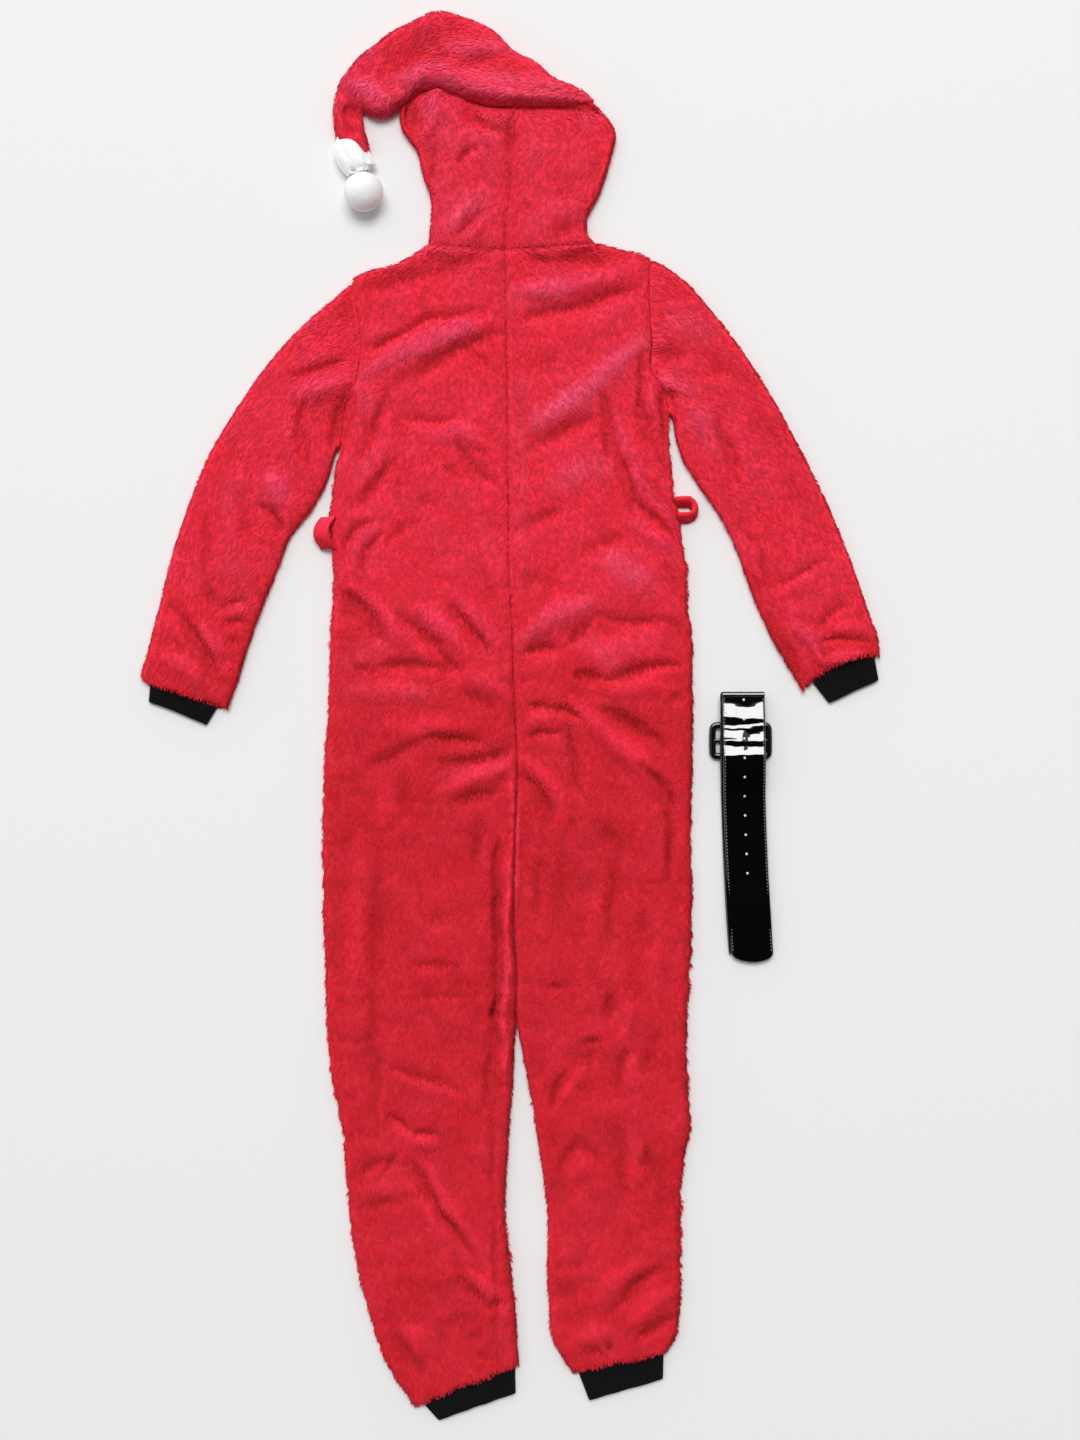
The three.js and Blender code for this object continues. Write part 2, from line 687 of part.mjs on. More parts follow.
// The right loop stands open on its edge and leans, so that its slot goes right through.
const LOOP_RIGHT = {
  wall: 6,
  height: 16,
  lean: 0.42,
  bulge: 1.2,
  arms: [256, 237],
  rootX: [198.3, 201.5],
  reach: 220,
};
const LOOP_STEPS = 6;

function beltLoopRight() {
  const { wall, height, lean, bulge, arms, rootX, reach } = LOOP_RIGHT;
  const [high, low] = arms;
  const radius = (high - low) / 2;
  const bend = reach - radius;
  const path = [{ at: [rootX[0], high], out: [0, 1] }];
  for (let i = 0; i <= LOOP_STEPS; i++) {
    const angle = Math.PI / 2 - (i / LOOP_STEPS) * Math.PI;
    const out = [Math.cos(angle), Math.sin(angle)];
    path.push({ at: [bend + radius * out[0], low + radius + radius * out[1]], out });
  }
  path.push({ at: [rootX[1], low], out: [0, -1] });
  const levels = [0, 0.5, 1];
  const pointAt = (side) => (row, column) => {
    const z = levels[row] * height;
    const { at, out } = path[column];
    const offset = side * (wall / 2) + (side > 0 && row === 1 ? bulge : 0);
    return [at[0] + out[0] * offset, at[1] + out[1] * offset + (z - height / 2) * lean, z];
  };
  return wallGeometry(levels.length, path.length, pointAt(1), pointAt(-1));
}

// The left loop lies over the edge of the body, its band arching up from the side seam.
const LOOP_LEFT = { wall: 5, band: 22, bulge: 1, rootY: [238, 200], rootX: -219.5, rootZ: 9, rise: 8, out: 4 };
const LOOP_TILT = Math.PI / 6; // how far the band leans up towards the body

function beltLoopLeft() {
  const { wall, band, bulge, rootY, rootX, rootZ, rise, out } = LOOP_LEFT;
  const [run, climb] = [Math.cos(LOOP_TILT), Math.sin(LOOP_TILT)];
  const steps = LOOP_STEPS + 2;
  const acrossAt = [-0.5, 0, 0.5];
  const pointAt = (side) => (row, column) => {
    const t = row / steps;
    const arch = Math.sin(Math.PI * t);
    const across = acrossAt[column] * band;
    const lift = side * (wall / 2) + rise * arch + (side > 0 && column === 1 ? bulge : 0);
    const x = rootX - out * arch + run * across - climb * lift;
    const z = rootZ + climb * across + run * lift;
    return [x, mix(rootY[0], rootY[1], t), z];
  };
  return wallGeometry(steps + 1, acrossAt.length, pointAt(1), pointAt(-1));
}

// ---------- belt ----------

const beltMiddle = (y) => BELT.x + BELT.lean * (BELT.top - y) ** 2;

// The strap's middle line seen from the side: from its tail under the buckle bar to its tip, three layers.
const STRAP = table('y z', [
  [-76, 1.1],
  [-34, 1.1],
  [-27, 1.7],
  [-24.2, 4],
  [-24, 6.8],
  [-27, 9.2],
  [-34, 9.7],
  [-56, 9.6],
  [-74, 5.2],
  [-88, 1.4],
  [-110, 1.1],
  [-282, 1.1],
  [-285.2, 1.8],
  [-286, 3],
  [-285.2, 4.2],
  [-282, 4.9],
  [-120, 4.6],
  [-96, 6],
  [-74, 10],
  [-58, 12.6],
  [-30, 12.8],
  [10, 12.6],
  [24, 12.2],
  [26.6, 12.8],
  [27.6, 14],
  [26.6, 15.4],
  [23, 16],
  [-30, 16.2],
  [-60, 16],
  [-80, 12.8],
  [-100, 9.4],
  [-124, 8.1],
  [-200, 8],
  [-278, 8],
  [-284, 8],
  [-290, 8],
  [-295.6, 8],
]);
const TIP_SHARES = [1, 0.84, 0.2]; // how wide the last three rows are, as shares of the strap

// Height of the middle of the strap's top layer.
function topLayerZ(y) {
  const layer = STRAP.slice(STRAP.findIndex((row) => row.z > 15));
  const after = layer.findIndex((row) => row.y < y);
  const [high, low] = [layer[after - 1], layer[after]];
  return mix(high.z, low.z, (high.y - y) / (high.y - low.y));
}

function beltStrap() {
  const columns = [-1, -0.5, 0, 0.5, 1];
  const normalAt = (row) => {
    const before = STRAP[Math.max(0, row - 1)];
    const after = STRAP[Math.min(STRAP.length - 1, row + 1)];
    const length = Math.hypot(after.y - before.y, after.z - before.z);
    return [-(after.z - before.z) / length, (after.y - before.y) / length];
  };
  const pointAt = (side) => (row, column) => {
    const { y, z } = STRAP[row];
    const share = TIP_SHARES[row - (STRAP.length - TIP_SHARES.length)] ?? 1;
    const [ny, nz] = normalAt(row);
    const offset = (side * BELT.thickness) / 2;
    const x = beltMiddle(y) + BELT.half * share * columns[column];
    return [x, y + ny * offset, z + nz * offset];
  };
  const strap = wallGeometry(STRAP.length, columns.length, pointAt(1), pointAt(-1));
  const punches = [];
  for (let i = 0; i < HOLES.count; i++) {
    const y = HOLES.first - i * HOLES.pitch;
    const punch = new THREE.CylinderGeometry(HOLES.radius, HOLES.radius, HOLES.depth, 8);
    punch.rotateX(Math.PI / 2);
    punch.translate(beltMiddle(y), y, topLayerZ(y));
    punches.push(punch);
  }
  const slot = new THREE.BoxGeometry(BAR_SLOT.width, BAR_SLOT.length, BAR_SLOT.depth);
  slot.translate(beltMiddle(BUCKLE.y), BUCKLE.y + BAR_SLOT.ahead, BAR_SLOT.z);
  return cut(strap, [...punches, slot]);
}

function roundedRectangle(width, height, corner) {
  const [w, h] = [width / 2, height / 2];
  const shape = new THREE.Shape();
  shape.moveTo(-w + corner, -h);
  shape.lineTo(w - corner, -h);
  shape.absarc(w - corner, -h + corner, corner, -Math.PI / 2, 0);
  shape.lineTo(w, h - corner);
  shape.absarc(w - corner, h - corner, corner, 0, Math.PI / 2);
  shape.lineTo(-w + corner, h);
  shape.absarc(-w + corner, h - corner, corner, Math.PI / 2, Math.PI);
  shape.lineTo(-w, -h + corner);
  shape.absarc(-w + corner, -h + corner, corner, Math.PI, 1.5 * Math.PI);
  return shape;
}

function buckleFrame() {
  const { width, height, side, depth, corner, bevel } = BUCKLE;
  const outline = roundedRectangle(width, height, corner);
  const windowWidth = width - 2 * side;
  const windowHeight = (height - 2 * side - BAR_WIDTH) / 2;
  for (const end of [-1, 1]) {
    const middle = (end * (windowHeight + BAR_WIDTH)) / 2;
    const [w, h] = [windowWidth / 2, windowHeight / 2];
    const gap = new THREE.Path();
    gap.moveTo(-w, middle - h);
    gap.lineTo(-w, middle + h);
    gap.lineTo(w, middle + h);
    gap.lineTo(w, middle - h);
    outline.holes.push(gap);
  }
  const frame = new THREE.ExtrudeGeometry(outline, {
    depth: depth - 2 * bevel,
    curveSegments: 4,
    bevelThickness: bevel,
    bevelSize: bevel,
    bevelOffset: -bevel,
    bevelSegments: 1,
  });
  frame.translate(0, 0, bevel);
  return frame;
}

// The prong's middle line, ahead of the bar: from under the bar, round it and forward to the far rim.
const PRONG = table('ahead z', [
  [-1.5, 1.6],
  [-4.8, 3.2],
  [-5, 7.4],
  [-2, 9.5],
  [6, 9.2],
  [26.3, 9.1],
]);

function buckleProng() {
  const points = PRONG.map(({ ahead, z }) => new THREE.Vector3(0, BUCKLE.y + ahead, z));
  const path = new THREE.CatmullRomCurve3(points);
  const section = new THREE.Shape();
  section.absarc(0, 0, PRONG_RADIUS, 0, 2 * Math.PI);
  const along = { steps: 12, curveSegments: 4, bevelEnabled: false, extrudePath: path };
  return new THREE.ExtrudeGeometry(section, along);
}

// ---------- the whole ----------

const garment = new THREE.Group();

function add(name, geometry, finish, position = [0, 0, 0]) {
  const mesh = new THREE.Mesh(geometry, new THREE.MeshStandardMaterial(COLOURS[finish]));
  mesh.name = name;
  mesh.position.set(...position);
  garment.add(mesh);
}

for (const half of ['left', 'right']) {
  add(`back_${half}`, backPanel(half), 'plush');
  add(`front_${half}`, frontPanel(half), 'plush');
  add(`sleeve_${half}`, sleeve(half), 'plush');
  add(`hood_${half}`, hoodHalf(half), 'plush');
}
add('hood_point', hoodPoint(), 'plush');
add('pompom_collar', pompomCollar(), 'white');
add('pompom', pompomBall(), 'white', [POMPOM.x, POMPOM.y, 0]);
for (const row of CUFFS) add(row.name, cuff(row), 'rib');
add('belt_loop_left', beltLoopLeft(), 'plush');
add('belt_loop_right', beltLoopRight(), 'plush');
add('zip_front', zipStrip(), 'zip');
add('zip_slider', zipSlider(), 'zip', [BODY[0].innerLX, ZIP.top + SEAM_GAP, SLIDER.crown / 2]);
add('belt_strap', beltStrap(), 'patent');
add('buckle_frame', buckleFrame(), 'buckle', [BUCKLE.x, BUCKLE.y, BUCKLE.bottom]);
add('buckle_prong', buckleProng(), 'buckle', [beltMiddle(BUCKLE.y), 0, 0]);

export default garment;
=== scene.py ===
"""Hooded one-piece pajamas of brushed red plush, laid face down, with their folded patent belt.

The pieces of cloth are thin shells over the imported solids. Lengths in the tables are millimetres.
Creases and brushed patches are placed on a layout sheet of 1.2 mm squares, x to the right and y down.
"""

import math

import bmesh
import bpy
import numpy as np
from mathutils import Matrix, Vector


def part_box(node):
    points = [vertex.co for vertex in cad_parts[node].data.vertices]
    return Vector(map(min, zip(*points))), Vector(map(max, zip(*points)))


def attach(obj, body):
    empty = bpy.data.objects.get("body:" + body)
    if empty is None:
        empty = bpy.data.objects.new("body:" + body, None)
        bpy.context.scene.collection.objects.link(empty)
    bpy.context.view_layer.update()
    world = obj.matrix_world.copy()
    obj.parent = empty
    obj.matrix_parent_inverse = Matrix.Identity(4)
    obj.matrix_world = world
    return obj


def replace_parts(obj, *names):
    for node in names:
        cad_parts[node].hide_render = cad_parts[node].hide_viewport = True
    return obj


bl_info = {
    "name": "Plush Onesie with Belt",
    "version": (1, 0, 0),
    "blender": (4, 5, 0),
    "location": "View3D > Sidebar > Onesie",
    "description": "Builds a plush onesie laid face down, its pompom, rib cuffs, belt and studio",
    "category": "Object",
}

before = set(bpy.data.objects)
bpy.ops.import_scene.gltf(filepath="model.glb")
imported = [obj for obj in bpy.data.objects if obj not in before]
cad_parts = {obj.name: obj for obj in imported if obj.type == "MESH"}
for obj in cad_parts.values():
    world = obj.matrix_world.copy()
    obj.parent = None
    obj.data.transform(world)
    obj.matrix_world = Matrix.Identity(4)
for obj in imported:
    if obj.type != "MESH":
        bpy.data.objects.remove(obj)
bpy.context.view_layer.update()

MM = 0.001
SQUARE = 1.2  # one square of the layout sheet, in millimetres
SHEET_MIDDLE = (511.5, 715.5)  # the square that lies on the origin

# ---------- tables ----------


def table(names, rows):
    """Rows of numbers as dictionaries with named columns."""
    columns = names.split()
    return [dict(zip(columns, row)) for row in rows]


# Sections across the body, neck to ankles: the two outer ends and the two inner ends of each.
BODY = table(
    "left_x left_y inner_lx inner_ly inner_rx inner_ry right_x right_y",
    [
        (-97, 565, -8, 559, -8, 559, 97, 566),
        (-136, 542, -8, 542, -8, 542, 132, 558),
        (-191, 518, -7, 522, -7, 522, 165, 546),
        (-187, 496, -7, 500, -7, 500, 165, 524),
        (-182, 463, -6, 468, -6, 468, 166, 481),
        (-181, 433, -6, 438, -6, 438, 168, 447),
        (-188, 400, -5, 407, -5, 407, 167, 414),
        (-201, 374, -5, 382, -5, 382, 180, 394),
        (-204, 346, -5, 358, -5, 358, 186, 379),
        (-205, 322, -5, 336, -5, 336, 188, 362),
        (-211, 290, -5, 303, -5, 303, 190, 319),
        (-214, 262, -4, 264, -4, 264, 194, 272),
        (-217, 236, -4, 235, -4, 235, 200, 236),
        (-215, 200, -4, 200, -4, 200, 205, 205),
        (-213, 170, -3, 168, -3, 168, 210, 176),
        (-216, 118, 0, 118, 0, 118, 211, 132),
        (-218, 66, 2, 66, 2, 66, 216, 84),
        (-219, 14, 4, 16, 4, 16, 217, 26),
        (-222, -34, 6, -34, 6, -34, 217, -28),
        (-224, -74, 7, -68, 7, -68, 216, -74),
        (-226, -131, 5, -131, 5, -131, 215, -131),
        (-225, -200, 3, -198, 3, -198, 216, -198),
        (-225, -245, 3, -255, 3, -255, 216, -245),
        (-223, -300, 6, -308, 6, -308, 214, -300),
        (-221, -360, 6, -358, 6, -358, 211, -364),
        (-219, -402, 3, -398, 13, -400, 210, -410),
        (-213, -446, 1, -442, 22, -445, 212, -456),
        (-203, -494, -3, -490, 30, -493, 214, -492),
        (-198, -549, -6, -541, 38, -545, 206, -540),
        (-193, -610, -8, -600, 44, -600, 202, -595),
        (-181, -674, -2, -655, 44, -660, 203, -660),
        (-169, -719, 3, -704, 46, -710, 201, -712),
        (-151, -773, 6, -746, 53, -754, 196, -746),
        (-117, -827, 8, -779, 74, -788, 185, -763),
    ],
)
ARMHOLE_TOP, ARMPIT, CROTCH, LEGS_PART = 2, 9, 19, 24  # rows of BODY

# Sections across each sleeve from the armhole to the hem; bow bends a section towards the armhole.
SLEEVES = {
    "left": table(
        "outer_x outer_y under_x under_y bow",
        [
            (-209, 502, -212, 315, 0),
            (-232, 483, -217, 300, 0),
            (-255, 462, -222, 283, 0),
            (-291, 422, -233, 260, 0),
            (-313, 392, -243, 245, 0),
            (-334, 360, -255, 230, 0),
            (-360, 316, -268, 211, 0),
            (-385, 256, -279, 182, 0),
            (-406, 193, -295, 143, 0),
            (-424, 122, -310, 103, 0),
            (-437, 70, -321, 70, 0),
            (-443, 47, -331, 37, 0),
            (-437, 39, -341, 10, 0),
        ],
    ),
    "right": table(
        "outer_x outer_y under_x under_y bow",
        [
            (183, 538, 194, 356, 0),
            (209, 519, 199, 331, 0),
            (239, 485, 207, 307, 0),
            (258, 461, 221, 283, 0),
            (277, 436, 232, 267, 0),
            (297, 405, 244, 250, 0),
            (315, 376, 256, 231, 0),
            (345, 320, 272, 196, 0),
            (375, 260, 283, 165, 0),
            (412, 170, 303, 115, 2),
            (427, 125, 318, 85, 4),
            (439, 92, 336, 54, 7),
            (441, 73, 349, 32, 10),
        ],
    ),
}

# Sections across the hood, neck upwards: its outer sides and the centre seam.
HOOD = table(
    "left_x left_y seam_x seam_y right_x right_y",
    [
        (-98, 565.4, -8, 559.4, 98, 566.4),
        (-96, 594, -6, 592, 90, 580),
        (-95, 616, -3, 616, 90, 597),
        (-104, 646, 0, 646, 106, 629),
        (-113, 677, 1, 674, 119, 671),
        (-130, 703, 2, 706, 122, 704),
        (-132, 726, 3, 734, 98, 733),
        (-122, 746, 1, 758, 80, 746),
    ],
)

# Sections across the folded-over point, from its root on the right to the end of the tail.
POINT = table(
    "outer_x outer_y inner_x inner_y height roll",
    [
        (99, 738, 96, 734.5, 13, 0),
        (82, 750, 70, 733, 19, 1),
        (50, 764, 35, 732, 21, 2),
        (29, 782, 3, 732, 21, 3),
        (2, 796, -24, 733, 21, 4),
        (-20, 818, -45, 738, 21, 5),
        (-39, 829, -66, 744, 21, 6),
        (-64, 838, -86, 750, 21, 6),
        (-88, 843, -106, 748, 21, 5),
        (-122, 829, -128, 732, 20, 4),
        (-144, 818, -146, 719, 20, 4),
        (-163, 803, -160, 717, 20, 3),
        (-180, 790, -169, 720, 19, 1),
        (-195, 773, -175, 724, 18, 0),
        (-206, 757, -179, 720, 17, 0),
        (-212, 734, -179, 713, 17, 0),
        (-213, 715, -177, 700, 17, 0),
        (-211, 698, -173, 687, 17, 0),
        (-207, 687, -171, 675, 16, 0),
    ],
)

# Creases on the layout sheet: a line, how far it bows to its left, how far it spreads, and how much it lifts
# (below zero: sinks) the cloth.
CREASE_NAMES = "from_x from_y to_x to_y bow width lift"
CREASES = {
    "body": table(
        CREASE_NAMES,
        [
            (360, 293, 497, 253, -2, 9, -3.4),
            (363, 337, 493, 296, -12, 10, 2.6),
            (372, 351, 484, 308, 6, 6, -4.8),
            (362, 374, 498, 318, 4, 9, 4.2),
            (386, 394, 500, 333, 4, 8, -3.4),
            (363, 378, 378, 430, 0, 9, 3.2),
            (388, 392, 380, 424, 0, 6, -3.4),
            (473, 353, 490, 372, 0, 5, -2.2),
            (404, 414, 464, 417, -7, 6, -2.4),
            (408, 424, 470, 430, -8, 9, 1.6),
            (450, 420, 486, 448, 0, 7, 3.2),
            (457, 443, 500, 486, -5, 5, -3.6),
            (445, 463, 459, 477, 0, 5, -1.8),
            (384, 410, 362, 462, 0, 6, -2.4),
            (394, 428, 356, 505, -2, 8, 2.6),
            (397, 460, 352, 510, 0, 7, -3.4),
            (420, 495, 437, 512, 0, 6, -1.6),
            (374, 517, 347, 556, -6, 5, -3),
            (380, 522, 356, 570, -6, 7, 2),
            (384, 530, 364, 583, -6, 5, -2.4),
            (420, 518, 388, 540, 0, 6, -1.8),
            (342, 590, 384, 641, 0, 8, -7.5),
            (344, 578, 432, 662, 2, 7, 2.6),
            (392, 610, 458, 672, 3, 6, -4.4),
            (414, 604, 470, 656, 2, 7, 4.4),
            (450, 604, 490, 656, 0, 6, -5),
            (455, 586, 504, 648, -4, 7, 3.2),
            (472, 555, 495, 604, 0, 5, -2.2),
            (380, 668, 434, 668, 2, 6, -3.4),
            (434, 668, 462, 672, 0, 6, -3),
            (348, 690, 432, 696, 3, 8, 2.4),
            (352, 668, 378, 672, 0, 5, -1.8),
            (458, 690, 498, 708, 0, 7, -2.6),
            (466, 672, 512, 700, 3, 6, 1.8),
            (424, 736, 482, 744, 3, 7, -3.6),
            (366, 766, 424, 738, -4, 7, -2.4),
            (376, 724, 480, 724, -4, 9, 1.8),
            (440, 762, 514, 746, -8, 6, -2.4),
            (440, 788, 514, 760, -4, 6, 2.8),
            (446, 800, 500, 788, -4, 6, -2.2),
            (404, 770, 406, 822, 0, 6, -1.8),
            (480, 815, 476, 878, 0, 6, -2),
            (392, 775, 384, 830, 0, 8, 1.4),
            (499, 836, 498, 940, -2, 4, -3.6),
            (498, 890, 497, 1040, 0, 4, -3.8),
            (497, 990, 487, 1112, 1, 4.5, -2.8),
            (514, 766, 519, 850, -1, 4.5, 4.4),
            (518, 820, 507, 930, 0, 4.5, 4.8),
            (508, 890, 505, 1080, 0, 4, 4.2),
            (380, 835, 374, 1000, 2, 7, -1.8),
            (374, 990, 378, 1112, 0, 6, -2.2),
            (362, 830, 356, 1040, 0, 9, 1.4),
            (440, 905, 430, 925, 0, 12, -1.2),
            (405, 968, 470, 966, 2, 5, -1.2),
            (400, 1000, 478, 992, 2, 4, -0.9),
            (383, 1060, 465, 1090, -2, 4, -1.6),
            (390, 1068, 470, 1100, -2, 6, 0.9),
            (388, 1112, 412, 1132, 2, 4, -2),
            (410, 1131, 442, 1134, 0, 4, -2),
            (396, 1128, 444, 1146, -4, 6, 1.8),
            (410, 1156, 472, 1253, -4, 4.5, -3.6),
            (425, 1160, 486, 1252, -4, 6, 2.6),
            (398, 1166, 458, 1252, -3, 7, 1.4),
            (361, 1171, 384, 1158, 0, 5, -2),
            (383, 1178, 397, 1150, 0, 5, -1.8),
            (353, 1207, 414, 1193, -3, 5, -1.1),
            (360, 1190, 400, 1184, 0, 7, 1),
            (456, 1275, 488, 1307, 2, 5, -2.4),
            (466, 1268, 500, 1300, 2, 6, 2),
            (486, 1307, 508, 1300, 0, 4, -1.4),
            (395, 1334, 424, 1374, 2, 7, -3.2),
            (408, 1324, 422, 1356, 0, 8, 2.2),
            (440, 1325, 470, 1316, 0, 6, -1.1),
            (470, 1330, 484, 1338, 0, 5, -1.2),
            (478, 1345, 490, 1360, 0, 6, -0.9),
            (350, 388, 337, 456, 0, 9, -9.0),
            (672, 386, 667, 452, 0, 9, -9.0),
            (496, 1060, 492, 1200, 1, 3, -1.4),
            (492, 1200, 498, 1362, 1, 3, -1.6),
            (556, 261, 607, 264, 0, 8, -4.2),
            (522, 254, 553, 268, 0, 5, -2.4),
            (513, 292, 632, 271, -4, 9, 3.4),
            (520, 322, 576, 310, 3, 7, -3.4),
            (560, 316, 640, 284, -3, 7, -4),
            (590, 326, 640, 302, 0, 11, 1.8),
            (536, 366, 560, 360, 0, 14, -1.6),
            (530, 430, 640, 342, -3, 11, 3),
            (518, 458, 598, 418, 2, 7, -2.8),
            (560, 480, 600, 464, 0, 12, 1.6),
            (600, 388, 611, 460, 2, 4.5, -4.4),
            (607, 436, 634, 516, 3, 5, -4.8),
            (626, 496, 682, 556, 3, 4.5, -4.4),
            (612, 410, 640, 500, 4, 6, 4),
            (642, 350, 637, 412, 3, 4, -4),
            (637, 392, 650, 446, 1, 4, -4.4),
            (643, 432, 668, 482, 1, 4, -4),
            (650, 384, 662, 446, 1, 4.5, 3.4),
            (630, 470, 678, 540, 3, 5, 3.8),
            (634, 470, 676, 520, 2, 4.5, -2.4),
            (622, 520, 682, 556, 2, 6, 2.4),
            (516, 532, 562, 512, 2, 8, -2.6),
            (578, 552, 628, 536, -3, 8, -2.6),
            (604, 556, 650, 584, -3, 15, 2.8),
            (556, 560, 552, 604, 0, 6, -1.6),
            (520, 578, 545, 582, 0, 9, -1.6),
            (664, 560, 686, 612, 1, 5, -1.8),
            (522, 637, 596, 600, 4, 8, 3.6),
            (522, 651, 562, 648, 2, 5.5, -4.2),
            (570, 644, 594, 616, -2, 6, -3),
            (594, 616, 668, 618, -5, 6, -2.6),
            (668, 618, 690, 642, 0, 6, -2.2),
            (580, 654, 668, 632, -8, 12, 2.6),
            (574, 671, 608, 681, 1, 5.5, -4.4),
            (606, 681, 684, 662, 3, 5.5, -3.8),
            (606, 692, 668, 684, 2, 8, 1.8),
            (528, 706, 556, 707, 0, 5, -3),
            (554, 706, 584, 718, 1, 5.5, -3.6),
            (524, 722, 556, 718, 2, 7, 1.6),
            (526, 738, 564, 730, 1, 4, -2),
            (568, 722, 586, 800, -3, 3.5, -3.4),
            (570, 700, 668, 796, 3, 8, 4),
            (600, 706, 656, 742, 3, 7, -3.8),
            (650, 728, 668, 756, 0, 6, -2.6),
            (632, 740, 656, 776, 0, 6, 1.8),
            (636, 762, 673, 806, 3, 5, -4.6),
            (672, 790, 670, 886, 0, 4.5, -3.2),
            (676, 690, 680, 706, 0, 6, -2),
            (522, 756, 564, 830, 10, 7, 3),
            (522, 772, 550, 828, 7, 5, -3),
            (598, 820, 622, 858, 2, 6, -1.8),
            (620, 856, 612, 950, -2, 6, -1.8),
            (604, 880, 590, 950, 0, 9, 1.2),
            (566, 850, 560, 930, 0, 8, -1.4),
            (540, 860, 536, 920, 0, 5, -2),
            (642, 908, 654, 955, 0, 6, -1.6),
            (660, 900, 654, 1010, 0, 8, 1.2),
            (610, 990, 608, 1020, 0, 5, -2.6),
            (632, 985, 622, 1050, 0, 6, 1.4),
            (548, 984, 562, 988, 0, 4, -1.6),
            (582, 1044, 604, 1040, 0, 4, -2),
            (550, 1108, 564, 1070, 2, 5, -2.4),
            (560, 1100, 590, 1060, 2, 5, 1.6),
            (588, 1066, 600, 1040, 0, 4, -1.6),
            (624, 1046, 619, 1092, 0, 5, -2),
            (636, 1050, 630, 1090, 0, 7, 1.6),
            (645, 1075, 660, 1030, 0, 6, -1.4),
            (560, 1176, 584, 1132, 2, 6, -1.8),
            (586, 1136, 602, 1168, 1, 5, -1.4),
            (572, 1180, 594, 1150, 0, 8, 0.8),
            (620, 1118, 624, 1210, 0, 6, -1.8),
            (634, 1120, 636, 1200, 0, 8, 1.4),
            (646, 1144, 655, 1180, 0, 5, -2.2),
            (668, 1160, 660, 1230, 0, 8, -1.4),
            (612, 1307, 666, 1262, 2, 6.5, -2.5),
            (596, 1300, 650, 1254, 2, 9, 1.6),
            (630, 1322, 676, 1286, 2, 8, 1.7),
            (636, 1338, 680, 1312, 2, 5.5, -2.3),
            (556, 1300, 580, 1284, 0, 8, -1.4),
            (572, 1338, 612, 1324, -3, 9, 1.8),
            (580, 1346, 602, 1352, 0, 4, -1.4),
            (604, 1350, 612, 1340, 0, 4, -1.8),
        ],
    ),
    "sleeve_left": table(
        CREASE_NAMES,
        [
            (349, 392, 335, 456, 0, 7, -8.0),
            (346, 300, 350, 330, 0, 6, -2.6),
            (290, 378, 350, 356, -3, 5, -3.4),
            (288, 372, 345, 346, -4, 8, 1.4),
            (288, 394, 350, 380, -3, 8, 4.6),
            (304, 396, 309, 474, -3, 4.5, -4.8),
            (318, 400, 322, 430, 0, 6, -1.4),
            (292, 410, 296, 460, 0, 10, 1.4),
            (266, 474, 284, 508, 3, 9, 3.2),
            (262, 504, 286, 546, 4, 6, -4.4),
            (272, 512, 290, 530, 3, 5, 1.6),
            (240, 440, 232, 470, 0, 8, -1.6),
            (203, 508, 209, 586, 2, 5, -3.4),
            (207, 580, 222, 614, 0, 6, -2.8),
            (233, 475, 234, 552, 2, 8, 1.8),
            (246, 490, 244, 560, 0, 7, -1.4),
            (222, 606, 250, 602, 0, 4, -1.6),
            (222, 620, 252, 624, 0, 4, -1.6),
            (222, 613, 250, 612, 0, 5, 1),
            (226, 640, 247, 645, 0, 5, -1.6),
            (178, 608, 218, 684, 4, 6, -5.6),
            (190, 618, 232, 676, 4, 7, 3.6),
            (170, 622, 190, 648, 2, 5, 1.4),
            (162, 652, 210, 688, 3, 8, 2.6),
            (168, 600, 180, 612, 0, 6, -1.6),
            (212, 652, 236, 664, 0, 6, -2),
        ],
    ),
    "sleeve_right": table(
        CREASE_NAMES,
        [
            (671, 388, 668, 448, 0, 7, -8.0),
            (652, 350, 690, 358, -2, 7, -3.6),
            (650, 374, 682, 386, -4, 8, 3),
            (660, 320, 700, 330, 0, 12, 1.6),
            (697, 352, 748, 384, -3, 8, -2.2),
            (747, 384, 790, 470, -5, 8, -2),
            (790, 470, 830, 556, -3, 9, -2.2),
            (700, 400, 706, 440, 0, 10, 2),
            (718, 418, 742, 490, -2, 4.5, -3.4),
            (732, 412, 756, 480, -2, 7, 1.4),
            (684, 462, 740, 556, -3, 4, -2.8),
            (742, 552, 768, 624, -1, 4.5, -4.6),
            (760, 606, 803, 690, 0, 5, -6.5),
            (722, 493, 758, 548, -3, 4, -2),
            (757, 547, 774, 592, -1, 4, -2.8),
            (712, 500, 764, 588, -3, 6, 2.4),
            (774, 585, 830, 556, -2, 4, -1.8),
            (776, 596, 824, 572, -2, 7, 1.4),
            (790, 614, 812, 628, 1, 5, -2.8),
            (812, 628, 856, 602, 2, 5, -2.2),
            (782, 602, 824, 664, 3, 6, 5),
            (818, 661, 866, 654, -2, 5, 3.6),
            (812, 642, 874, 643, 3, 4, -2.4),
            (826, 634, 870, 628, 2, 6, 1.4),
        ],
    ),
    "hood": table(
        CREASE_NAMES,
        [
            (438, 84, 424, 140, 3, 7, 5.4),
            (408, 94, 416, 140, 0, 8, -5.0),
            (446, 104, 508, 142, -12, 8, 3.2),
            (464, 98, 514, 140, -9, 6, -4),
            (454, 128, 476, 124, 0, 10, -1.2),
            (436, 148, 482, 138, 4, 9, 1.2),
            (457, 168, 480, 149, 2, 5, -2.6),
            (466, 172, 490, 152, 2, 6, 1.2),
            (433, 150, 432, 196, 1, 4, -2.2),
            (446, 232, 484, 190, 2, 5, 2.0),
